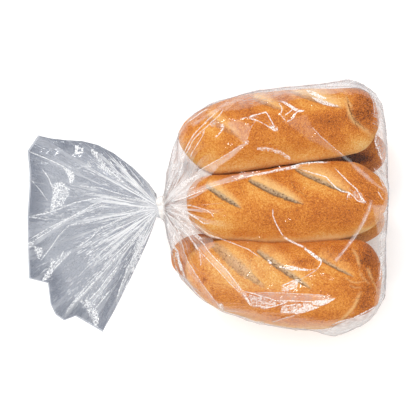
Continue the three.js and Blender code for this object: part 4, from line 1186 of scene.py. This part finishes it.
def gatherLines(film, around, fromNeck):
    # coordinates that stay the same along a pleat: straight away from the neck as the camera sees it near
    # the tie, and by the angle round the bag further off and at the sides
    fan = np.arctan2(film[:, 1] - neck.y, film[:, 0] - neck.x)
    fan = np.where(np.cos(around) < 0, math.pi + fan, np.where(around > math.pi, 2 * math.pi - fan, -fan))
    straight = (1 - smooth(fromNeck, *filmSize["fanReach"])) * smooth(np.abs(np.cos(around)), 0.05, 0.5)
    turned = mix(around, fan, straight)
    return np.column_stack([np.cos(turned), np.sin(turned), fromNeck])


def makeBodyFilm(material):
    size = filmSize
    piece, u, v = gridPiece("film_body", size["around"], size["along"], material)
    mesh = piece.data
    order = gridOrder(u, v, size["around"], size["along"])
    points = castOnBag(u, v)
    # the first rows run into the tie
    around, row = 2 * math.pi * u, v * size["along"]
    halfY, halfZ = size["neckHalf"]
    knot = np.column_stack([
        neck.x + (row * size["rowMm"] - size["overlapMm"]) * mm,
        neck.y - np.sin(around) * halfY,
        neck.z - np.cos(around) * halfZ,
    ])
    first = 1 - smooth(row, 1.5, 5)
    film, top = drawOverRolls(mix(points, knot, first[:, None]), order)
    writePoints(mesh, film)
    normals = readNormals(mesh)
    if normals[np.argmax(film[:, 2])][2] < 0:
        normals = -normals
    pixels = toPhoto(film)
    shown = smooth(film[:, 2], *size["shown"]) * (normals[:, 2] > 0.0)
    height, crumpled = paintFilm(mesh, pixels, shown, bodyMarks)
    fromNeck = np.linalg.norm(film - np.array(neck), axis=1)
    taut = patches(pixels, bodyMarks["taut"])
    bunched = sum(amount * (1 - smooth(fromNeck, *reach)) for amount, *reach in size["bunched"])
    paint(mesh, "taut", taut)
    paint(mesh, "bunched", bunched * (1 - taut))
    paint(mesh, "shade", patches(pixels, bodyMarks["shades"]) * shown)
    # pleats fan out from the neck and die out over the shoulder, and run along the side walls
    gather = gatherLines(film, around, fromNeck)
    nearNeck = 1 - smooth(fromNeck, *size["pleatReach"])
    wall = 1 - smooth(np.abs(normals[:, 2]), 0.25, 0.75)
    paint(mesh, "gather", gather)
    paint(mesh, "gathered", np.clip(np.maximum(0.85 * nearNeck, 0.42 * wall), 0, 1) * (1 - 0.85 * taut))
    # film that hangs clear of the rolls is hazier
    rollTrees = [meshTree(roll.data) for roll in rollPieces.values()]
    toRoll = np.array([min((Vector(p) - tree.find_nearest(Vector(p))[0]).length for tree in rollTrees)
                       for p in film])
    hanging = smooth(toRoll, *size["hanging"])
    hazy = patches(pixels, bodyMarks["hazy"]) * shown
    paint(mesh, "loose", np.maximum(hanging * mix(1.0, 0.3, top), hazy))
    pleats = lumps(gather * np.array([15, 15, 14]), 1, 11, 2)
    standing = np.clip(fromNeck * 0.035, 0, size["pleatHigh"]) * (0.25 + 0.75 * nearNeck)
    ridges = (1 - np.abs(lumps(film, 24 * mm, 31, 2))) ** 6
    relief = height * mm + pleats * standing
    relief += ridges * size["ridgeHigh"] * smooth(fromNeck, 10 * mm, 40 * mm)
    relief += crumpled * lumps(film, 2.5 * mm, 51) * size["crumpleHigh"]
    film = film + normals * relief[:, None]
    film[:, 2] = np.maximum(film[:, 2], size["lowest"])
    writePoints(mesh, film)
    closeSeam(mesh, 0.02 * mm)
    return piece


bodyFilm = makeBodyFilm(blownFilm("blownFilmBody", filmLook["body"]))
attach(bodyFilm, "root")
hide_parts("bag")
bodyFilm.visible_shadow = False  # thin clear film darkens nothing under it
print("body film made", len(bodyFilm.data.polygons))

# The loose tail: two layers of film fanned out from the tie to the cut mouth. Its far side runs from the tie
# over the top of the picture, its near side below, and the mouth from the near side to the far one.
tailMarks = {
    "far": [
        (158.5, 197), (149, 183.5), (133, 167.5), (114, 153), (98, 144.5), (82, 140.5), (66, 139.5),
        (50.5, 137.5), (38.5, 134.5),
    ],
    "near": [
        (157.5, 214), (155.5, 220), (152.5, 229), (147, 243), (140, 259), (133, 274), (116, 308.5),
        (103, 332),
    ],
    "mouth": [
        (103, 332), (87.5, 323), (75.5, 316), (64, 320.5), (55.5, 314.5), (50.5, 304), (48, 283),
        (29, 278.5), (28, 246), (27.5, 216.5), (29.5, 187.5), (29.5, 171.5), (27.5, 151), (38.5, 134.5),
    ],
    "creases": [
        # short kinks
        ([(71.5, 156), (75, 154), (80, 153.6)], 0.45, 1.0, 0.4),
        ([(97.5, 167.6), (101, 165.4), (104, 163)], 0.4, 1.0, 0.4),
        ([(98, 167.6), (104, 169.6), (111, 172.4)], 0.4, 0.95, 0.4),
        ([(63, 184), (66, 188), (70.6, 190)], 0.45, 1.0, 0.5),
        ([(58, 203), (62, 199), (64.5, 205.5)], 0.4, 0.9, 0.4),
        ([(93, 310.5), (97.5, 306), (104, 298), (110, 290)], 0.5, 0.9, 0.6),
        ([(85, 299), (90, 303), (96, 305)], 0.5, 0.9, 0.4),
        ([(64, 250), (60, 258), (54, 266), (49, 274)], 0.5, 0.9, 0.5),
        # from the mouth's far side
        ([(28, 151), (40, 156), (50, 160), (64, 167), (71, 171)], 0.45, 0.95, 1.0),
        ([(42, 169), (46, 174), (49, 179), (53, 189)], 0.5, 0.9, 0.6),
        ([(31, 179.5), (40, 190), (48, 201.5)], 0.4, 0.6, 0.5),
        # long folds between the tie and the mouth, and short ones beside them
        ([(28, 217), (49, 212.5), (62, 208), (74, 203), (94, 198.5), (116, 197), (155, 203)], 0.55, 0.85,
          1.6),
        ([(28, 217), (40, 218.5), (48, 220)], 0.4, 0.7, 0.3),
        ([(28, 245.5), (38, 238), (49, 231.5), (71, 217), (95, 204), (113, 198.5)], 0.55, 0.9, 1.6),
        ([(28, 240.5), (49, 228), (68, 218), (91, 210), (110, 203)], 0.45, 0.85, 0.8),
        ([(39.5, 262), (50, 249), (58.5, 236.5), (68, 226), (80, 222)], 0.5, 0.85, 1.2),
        ([(68, 226), (94, 221), (119, 214), (155, 204)], 0.45, 0.75, 1.0),
        ([(42, 280), (49, 271.5), (54, 259)], 0.7, 0.9, 0.6),
        ([(50, 273), (61, 262), (66, 256), (72, 251)], 0.6, 0.85, 0.6),
        ([(75.5, 249), (91, 238), (97, 232), (102, 228), (122, 218), (155, 204)], 0.5, 0.85, 1.0),
        ([(63, 318), (71, 306.5), (93.5, 283), (119, 255), (134, 239), (145, 227), (155, 207)], 0.6, 0.95,
          1.6),
        ([(66, 311), (82, 291), (100, 272), (112, 259)], 0.45, 0.75, 0.6),
        ([(88, 301), (98, 291), (107.5, 278.5), (119, 265)], 0.55, 0.95, 1.0),
        ([(91, 304), (102, 291), (112, 278), (118, 268)], 0.4, 0.7, 0.4),
        ([(115.5, 304), (119.5, 290), (127, 270), (138.5, 246), (147, 229.5), (155, 210)], 0.6, 0.95, 1.4),
        ([(120, 300), (127, 284), (135, 264), (143, 244)], 0.4, 0.7, 0.5),
        ([(85, 299.5), (88, 306), (88, 311)], 0.6, 0.85, 0.4),
        ([(95, 322), (97, 314), (95, 308)], 0.8, 0.9, 0.4),
        ([(91.5, 149.5), (99, 160.5), (105, 166.5), (116, 176), (126, 184.5)], 0.6, 0.85, 0.8),
        ([(119, 160.5), (124.5, 169), (131.5, 177.5)], 0.5, 0.85, 0.5),
        ([(75.5, 185), (88, 187), (99, 187.5), (122, 194.5), (155, 203)], 0.5, 0.7, 1.0),
        ([(84, 193), (104, 195), (128, 199), (155, 204)], 0.4, 0.6, 0.7),
        ([(99, 166.5), (112, 176), (133, 190), (155, 201.5)], 0.5, 0.7, 0.9),
        ([(75.5, 169), (84, 166.5), (93.5, 166), (106, 166.5)], 0.4, 0.5, 0.4),
        ([(89, 231), (108, 225), (130, 216), (155, 205)], 0.4, 0.7, 0.7),
        ([(92, 262), (108, 246), (126, 230), (155, 206)], 0.45, 0.75, 0.9),
        ([(78, 277), (92, 262)], 0.4, 0.5, 0.4),
        ([(106, 256), (124, 238), (140, 222), (155, 207)], 0.4, 0.7, 0.7),
        ([(128, 248), (140, 232), (150, 217), (156, 208)], 0.5, 0.8, 0.6),
    ],
    "glints": [
        ([(64.5, 167), (68, 169), (73.5, 172.5), (73.5, 180), (70, 184), (68, 176)], 0.9),
        ([(75.5, 145), (78.5, 145.5), (78, 148), (76.6, 153.6), (74.4, 154)], 1.0),
        ([(81.4, 148), (83.4, 147.4), (83, 153), (81.4, 153.4)], 0.9),
        ([(77.6, 147), (83, 147.8), (82.6, 149.4), (77.4, 148.8)], 0.9),
        ([(76, 151.6), (82, 151.8), (81.6, 153.8), (75.6, 154)], 0.95),
        ([(91, 149.4), (93.6, 149.2), (94.6, 152), (98, 152), (97.6, 157), (94.8, 156.8), (91.4, 153)],
          0.9),
        ([(98.6, 157), (100.6, 157.6), (103, 162), (101, 162.4)], 0.8),
        ([(56, 183), (60, 182), (58, 194), (54, 204), (50, 209), (53, 196)], 0.7),
        ([(35, 246.5), (42, 248), (40.5, 254), (38, 257.5)], 0.85),
        ([(44, 277), (48, 273), (50, 276), (47, 280)], 0.8),
        ([(93, 311), (98, 314), (98.5, 320), (96, 326.5), (93.5, 321)], 0.8),
        ([(139, 236), (144, 231), (145, 236), (140, 250), (134, 262), (136, 248)], 0.55),
    ],
    "veils": [
        ([(28, 246), (38, 238), (50, 230.5), (68, 218), (91, 207), (91, 210), (70, 221), (50, 234.5),
          (40, 243), (29, 249)], 0.35),
        ([(63, 318), (71, 306), (93.5, 282), (119, 254.5), (134, 239), (122, 256), (97, 282), (75, 306),
          (66, 317)], 0.4),
        ([(115.5, 304), (119.5, 290), (127, 270), (138.5, 246), (146, 231), (143, 244), (133, 268),
          (124, 288), (118, 304)], 0.4),
        ([(88, 302), (98, 290), (107, 278), (118, 264), (120, 267), (110, 281), (100, 293), (90, 303)],
          0.35),
    ],
    "crumples": [
        ([(52.5, 183.5), (61, 181.5), (68, 187), (69.5, 194), (63, 205), (49.5, 212), (52, 199)], 1.0),
        ([(62, 167), (68, 169), (74.5, 173), (74.5, 179), (71.5, 186.5), (68.5, 177)], 1.0),
        ([(98, 168), (104, 163), (106, 165), (104, 168), (112, 171), (110, 174), (103, 170)], 0.9),
        ([(34.5, 246.5), (42, 248.5), (42.5, 254), (39, 259.5), (34.5, 253)], 1.0),
        ([(51, 258.5), (55.5, 261), (54.5, 269), (48.5, 279), (41.5, 282), (46, 273), (50, 267)], 1.0),
        ([(87, 300), (92, 306), (98, 311), (99.5, 319), (97.5, 328.5), (92, 321), (86.5, 309)], 0.95),
        ([(140, 232), (146.5, 233), (144.5, 245), (138.5, 261), (134, 277.5), (130.5, 265), (134, 249)],
          0.75),
        ([(79, 300), (86, 302), (91, 309), (86, 308)], 0.8),
        ([(102, 163), (114, 170.5), (127, 177), (129, 182), (116, 178), (103, 168.5)], 0.7),
        ([(28, 243), (32, 240.5), (36, 238.5), (33, 247), (29, 248.5)], 0.9),
        ([(56, 256), (66, 252), (72, 250), (66, 259), (57, 266)], 0.5),
        ([(90, 256), (99, 252), (101, 262), (93, 268)], 0.45),
    ],
    "shatters": [
        ((104, 248), (28, 20), 0.85), ((124, 224), (26, 14), 0.8), ((108, 168), (26, 10), 0.8),
        ((126, 182), (26, 12), 0.6), ((138, 244), (9, 26), 0.9), ((128, 274), (9, 26), 0.7),
        ((72, 214), (34, 10), 0.6), ((84, 292), (18, 16), 0.5), ((100, 286), (14, 16), 0.6),
        ((78, 190), (24, 9), 0.35), ((48, 268), (10, 12), 0.4), ((120, 204), (34, 8), 0.6),
        ((85, 250), (60, 70), 0.16), ((70, 175), (50, 40), 0.12),
    ],
}
tailSize = {
    "across": 250, "along": 150,  # squares
    "height": 0.030,  # where the search for the CAD tail starts
    "inset": 0.012, "foot": (158.0, 208.0),  # how far the lower layer ends short, and towards which pixel
    "flares": (3 * mm, 25 * mm), "settles": (25 * mm, 100 * mm),  # where its pleats grow and fade
    "pleatHigh": 1.1 * mm, "crumpleHigh": 1.2 * mm, "waveHigh": 0.6 * mm,
    "lowest": (0.9 * mm, 0.3 * mm),  # the upper layer and the lower one
}


def alongPath(path, share):
    path = np.asarray(path, float)
    steps = np.concatenate([[0], np.cumsum(np.linalg.norm(np.diff(path, axis=0), axis=1))])
    return np.stack([np.interp(share * steps[-1], steps, path[:, k]) for k in (0, 1)], axis=1)


def tailPixels(across, outward, upper):
    # where each vertex shows: a patch drawn between the tail's two sides and its cut mouth
    near, far = (alongPath(tailMarks[k], outward) for k in ("near", "far"))
    mouth = alongPath(tailMarks["mouth"], across)
    a, reach = across[:, None], outward[:, None]
    (nearStart, farStart), (nearEnd, farEnd) = ([np.array(tailMarks[k][i], float) for k in ("near", "far")]
                                                for i in (0, -1))
    knot = mix(nearStart, farStart, a)
    pixels = mix(near, far, a) + mix(knot, mouth, reach) - mix(knot, mix(nearEnd, farEnd, a), reach)
    # the layer underneath ends a little short of the upper one, unevenly
    uneven = lumps(np.column_stack([across, across * 0, across * 0 + 3]), 0.3, 3)
    inset = np.where(upper, 0, tailSize["inset"] * (1 + 0.8 * uneven) * outward**6)
    return mix(pixels, np.array(tailSize["foot"]), inset[:, None])


def layOnBag(pixels, upper):
    # the points at these pixels on the CAD tail's top, or on its underside for the lower layer
    tree = meshTree(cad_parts["bag"].data)
    z = np.full(len(pixels), tailSize["height"])
    for _ in range(2):
        places = fromPhoto(pixels, z)
        for i in range(len(pixels)):
            start, down = (0.15, -1) if upper[i] else (-0.01, 1)
            hit = tree.ray_cast(Vector((*places[i], start)), Vector((0, 0, down)))[0]
            if hit is None or hit.x > neck.x + 2 * mm:
                hit = tree.find_nearest(Vector((*places[i], z[i])))[0]
            z[i] = hit.z
    return np.column_stack([fromPhoto(pixels, z), z])


def makeTailFilm(material):
    size = tailSize
    around = 2 * size["across"]
    piece, u, t = gridPiece("film_tail", around, size["along"], material)
    mesh = piece.data
    order = gridOrder(u, t, around, size["along"])
    upper = u < 0.5
    across = np.where(upper, 2 * u, 2 - 2 * u)  # 0 at the near side, 1 at the far side
    pixels = tailPixels(across, t**1.15, upper)
    film = settle(layOnBag(pixels, upper), order, 2)
    # the first rows run into the tie
    turn, row = math.pi * across, t * size["along"]
    halfY, halfZ = filmSize["neckHalf"]
    inTie = np.column_stack([
        neck.x + (filmSize["overlapMm"] - filmSize["rowMm"] * row) * mm,
        neck.y - np.cos(turn) * halfY,
        neck.z + np.sin(turn) * halfZ * np.where(upper, 1, -1),
    ])
    first = 1 - smooth(row, 1.5, 6)
    film = mix(film, inTie, first[:, None])
    flatAway = film[:, :2] - np.array(neck)[:2]
    fromNeck = np.linalg.norm(flatAway, axis=1)
    fan = np.arctan2(flatAway[:, 1], -flatAway[:, 0])
    gather = np.column_stack([fan * 1.1, np.where(upper, 0.0, 7.0), fromNeck])
    height, crumpled = paintFilm(mesh, pixels, np.where(upper, 1.0, 0.0), tailMarks)
    # pleats stand highest just past the tie, and the two layers stay joined along the sides
    pleats = lumps(gather * np.array([18, 1, 16]), 1, 71, 2)
    spread = smooth(fromNeck, *size["flares"]) * (1 - 0.7 * smooth(fromNeck, *size["settles"]))
    lift = height * mm + spread * pleats * size["pleatHigh"]
    lift += crumpled * lumps(film, 3 * mm, 75, 2) * size["crumpleHigh"]
    lift += lumps(film, 26 * mm, 76, 2) * size["waveHigh"] * smooth(fromNeck, 10 * mm, 40 * mm)
    edge = smooth(np.minimum(across, 1 - across), 0.0, 0.03)
    film[:, 2] += lift * np.where(upper, 1.0, 0.6) * edge * (1 - first)
    film[:, 2] = np.maximum(film[:, 2], np.where(upper, *size["lowest"]))
    writePoints(mesh, film)
    outline = tailMarks["near"] + tailMarks["mouth"][1:-1] + tailMarks["far"][::-1]
    # painted shade: the tail darker towards its outline, away from the tie
    rimmed = (1 - smooth(inOutline(pixels, outline), 3, 24)) * smooth(fromNeck, 12 * mm, 45 * mm)
    gathered = np.clip(1.05 - smooth(fromNeck, 8 * mm, 95 * mm), 0.12, 0.9)
    paint(mesh, "gather", gather)
    paint(mesh, "gathered", gathered * np.where(upper, 1.0, 0.5))
    paint(mesh, "bunched", 0.55 * (1 - smooth(fromNeck, 7 * mm, 24 * mm)))
    paint(mesh, "loose", 0.75 + 0.5 * lumps(film, 20 * mm, 79, 2))
    paint(mesh, "taut", np.zeros(len(film)))
    paint(mesh, "shade", np.clip(0.7 * rimmed, 0, 1))
    closeSeam(mesh, 0.005 * mm)
    return piece


tailFilm = makeTailFilm(blownFilm("blownFilmTail", filmLook["tail"]))
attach(tailFilm, "root")
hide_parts("bag")
tailFilm.visible_shadow = False
print("tail film made", len(tailFilm.data.polygons))

# Plastic-coated paper tie: white and satin, finely cockled where it was twisted tight.
tieLook = {"white": "#F7F5F2", "shade": "#E4DDD8", "cockleMm": 2.2, "fibreMm": 0.5}


def coatedPaper():
    material, tree = newMaterial("coatedPaperTie")
    position = addNode(tree, "TexCoord").outputs["Object"]
    cockle = addNode(tree, "TexNoise",
                     {"Vector": position, "Scale": 1000 / tieLook["cockleMm"], "Detail": 2.0})
    fibre = addNode(tree, "TexNoise",
                    {"Vector": position, "Scale": 1000 / tieLook["fibreMm"], "Detail": 2.0})
    # painted shade: the cockles' hollows take the darker shade colour
    shade = addNode(tree, "MapRange", {"Value": cockle, "From Min": 0.35, "From Max": 0.65})
    color = addNode(tree, "Mix",
                    {"Factor": shade, 6: linear(tieLook["shade"]), 7: linear(tieLook["white"])},
                    data_type="RGBA")
    relief = addNode(tree, "Math", {0: fibre, 1: 0.2, 2: cockle}, operation="MULTIPLY_ADD")
    raised = addNode(tree, "Bump", {"Height": relief, "Distance": 0.8 * mm, "Strength": 0.7})
    shader = addNode(tree, "BsdfPrincipled",
                     {"Base Color": color.outputs[2], "Roughness": 0.38, "IOR": 1.49, "Normal": raised})
    addNode(tree, "OutputMaterial", {"Surface": shader})
    return material


# Wound tight round the neck, wavy along its edges, with its folded end crushed into a wad on the far side.
tieShape = {
    "segments": 120, "rings": 36,
    "middle": (162.2, 208.4),
    "half": (3.0 * mm, 9.6 * mm, 7.0 * mm), "taper": 0.32, "slant": 0.55 * mm,
    "wad": (161.8, 202.2), "wadHalf": (4.4 * mm, 4.6 * mm, 3.8 * mm), "wadRise": 4.4 * mm,
    # sizes and heights of its unevenness
    "cockle": (2.6 * mm, 0.7 * mm), "wrinkle": (1.4 * mm, 0.16 * mm),
    "fray": (4 * mm, 0.7 * mm), "crush": (4.2 * mm, 1.5 * mm),
    "bulge": 0.16,
}


def makeTie(material):
    shape = tieShape
    bm = bmesh.new()
    bmesh.ops.create_cone(bm, cap_ends=True, segments=shape["segments"], radius1=1, radius2=1, depth=2)
    sides = [e for e in bm.edges if abs(e.verts[0].co.z - e.verts[1].co.z) > 1]
    bmesh.ops.subdivide_edges(bm, edges=sides, cuts=shape["rings"])
    band = len(bm.verts)
    bmesh.ops.create_icosphere(bm, subdivisions=5, radius=1)
    bmesh.ops.triangulate(bm, faces=[f for f in bm.faces if len(f.verts) > 4])
    piece = newPiece("tie_strip", bm, material)
    points = readPoints(piece.data)
    halfX, halfY, halfZ = shape["half"]
    placed = np.empty_like(points)
    ring, wad = points[:band], points[band:]
    bulge = 1 - shape["bulge"] * ring[:, 2] ** 2
    placed[:band, 0] = ring[:, 2] * halfX * (1 + shape["taper"] * ring[:, 1]) - shape["slant"] * ring[:, 1]
    placed[:band, 1] = ring[:, 1] * halfY * bulge
    placed[:band, 2] = -ring[:, 0] * halfZ * bulge
    middle = fromPhoto(np.array([shape["middle"]]), neck.z)[0]
    placed[:band] += np.array([middle[0], middle[1], neck.z])
    wadMiddle = fromPhoto(np.array([shape["wad"]]), neck.z)[0]
    placed[band:] = wad * np.array(shape["wadHalf"]) + np.array([*wadMiddle, neck.z + shape["wadRise"]])
    crushed, crushHigh = shape["crush"]
    placed[band:] += wad * lumps(placed[band:], crushed, 84, 3)[:, None] * crushHigh
    writePoints(piece.data, placed)
    normals = readNormals(piece.data)
    cockled, cockleHigh = shape["cockle"]
    folds = 1 - np.abs(lumps(placed * np.array([0.45, 1, 1]), cockled, 81, 2))
    wrinkled, wrinkleHigh = shape["wrinkle"]
    relief = (folds**3 - 0.5) * cockleHigh + lumps(placed, wrinkled, 82) * wrinkleHigh
    placed += normals * relief[:, None]
    frayed, frayHigh = shape["fray"]
    ragged = lumps(placed[:band] * np.array([0, 1, 1]), frayed, 83, 2) * frayHigh
    placed[:band, 0] += ragged * np.sign(ring[:, 2])
    writePoints(piece.data, placed)
    return piece


tieStrip = makeTie(coatedPaper())
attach(tieStrip, "root")
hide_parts("tie")
print("tie made", len(tieStrip.data.polygons))

# The studio: white paper on the floor, an even bright room, one wide soft lamp and two small ones for glints.
studio = {
    "floor": "#FFFFFF",
    "tableGlow": 0.10,  # a light table under the paper keeps the shadows on it faint
    "room": 0.75,
    "lamps": {
        "soft": {"from": (-0.25, 0.20, 1.0), "spread": 60, "strength": 1.40, "mirrored": False},
        "key": {"from": (-0.35, 0.55, 1.0), "spread": 8, "strength": 0.36, "mirrored": True},
        "fill": {"from": (0.15, -0.60, 1.0), "spread": 7, "strength": 0.26, "mirrored": True},
    },
}


def makeCamera():
    data = bpy.data.cameras.new("camera")
    data.sensor_width = 36
    data.lens = 36 * photo["cameraAway"] / (photo["size"] * scale)
    data.clip_end = 20
    camera = bpy.data.objects.new("camera", data)
    camera.location = (cameraXY[0], cameraXY[1], photo["height"] + photo["cameraAway"])
    bpy.context.scene.collection.objects.link(camera)
    bpy.context.scene.camera = camera


def makeFloor():
    bm = bmesh.new()
    bmesh.ops.create_grid(bm, x_segments=2, y_segments=2, size=6)
    material, tree = newMaterial("studioPaper")
    paper = addNode(tree, "BsdfDiffuse", {"Color": linear(studio["floor"])})
    glow = addNode(tree, "Emission", {"Color": (1, 1, 1, 1), "Strength": studio["tableGlow"]})
    shader = addNode(tree, "AddShader", {0: paper, 1: glow})
    addNode(tree, "OutputMaterial", {"Surface": shader})
    floor = newPiece("floor", bm, material)


def makeLights():
    for name, lamp in studio["lamps"].items():
        data = bpy.data.lights.new(name, "SUN")
        data.angle = math.radians(lamp["spread"])
        data.energy = lamp["strength"]
        light = bpy.data.objects.new(name, data)
        light.rotation_euler = (-Vector(lamp["from"])).to_track_quat("-Z", "Y").to_euler()
        light.visible_glossy = lamp["mirrored"]
        bpy.context.scene.collection.objects.link(light)
    world = bpy.data.worlds.new("studio")
    bpy.context.scene.world = world
    world.use_nodes = True
    background = world.node_tree.nodes["Background"]
    background.inputs["Color"].default_value = (1, 1, 1, 1)
    background.inputs["Strength"].default_value = studio["room"]
    world.cycles_visibility.glossy = False  # dark screens: only the small lamps glint on the film


makeCamera()
makeFloor()
makeLights()
bpy.context.scene.view_settings.view_transform = "Standard"
bpy.context.scene.cycles.transparent_max_bounces = 32  # the film lies in many layers at the neck
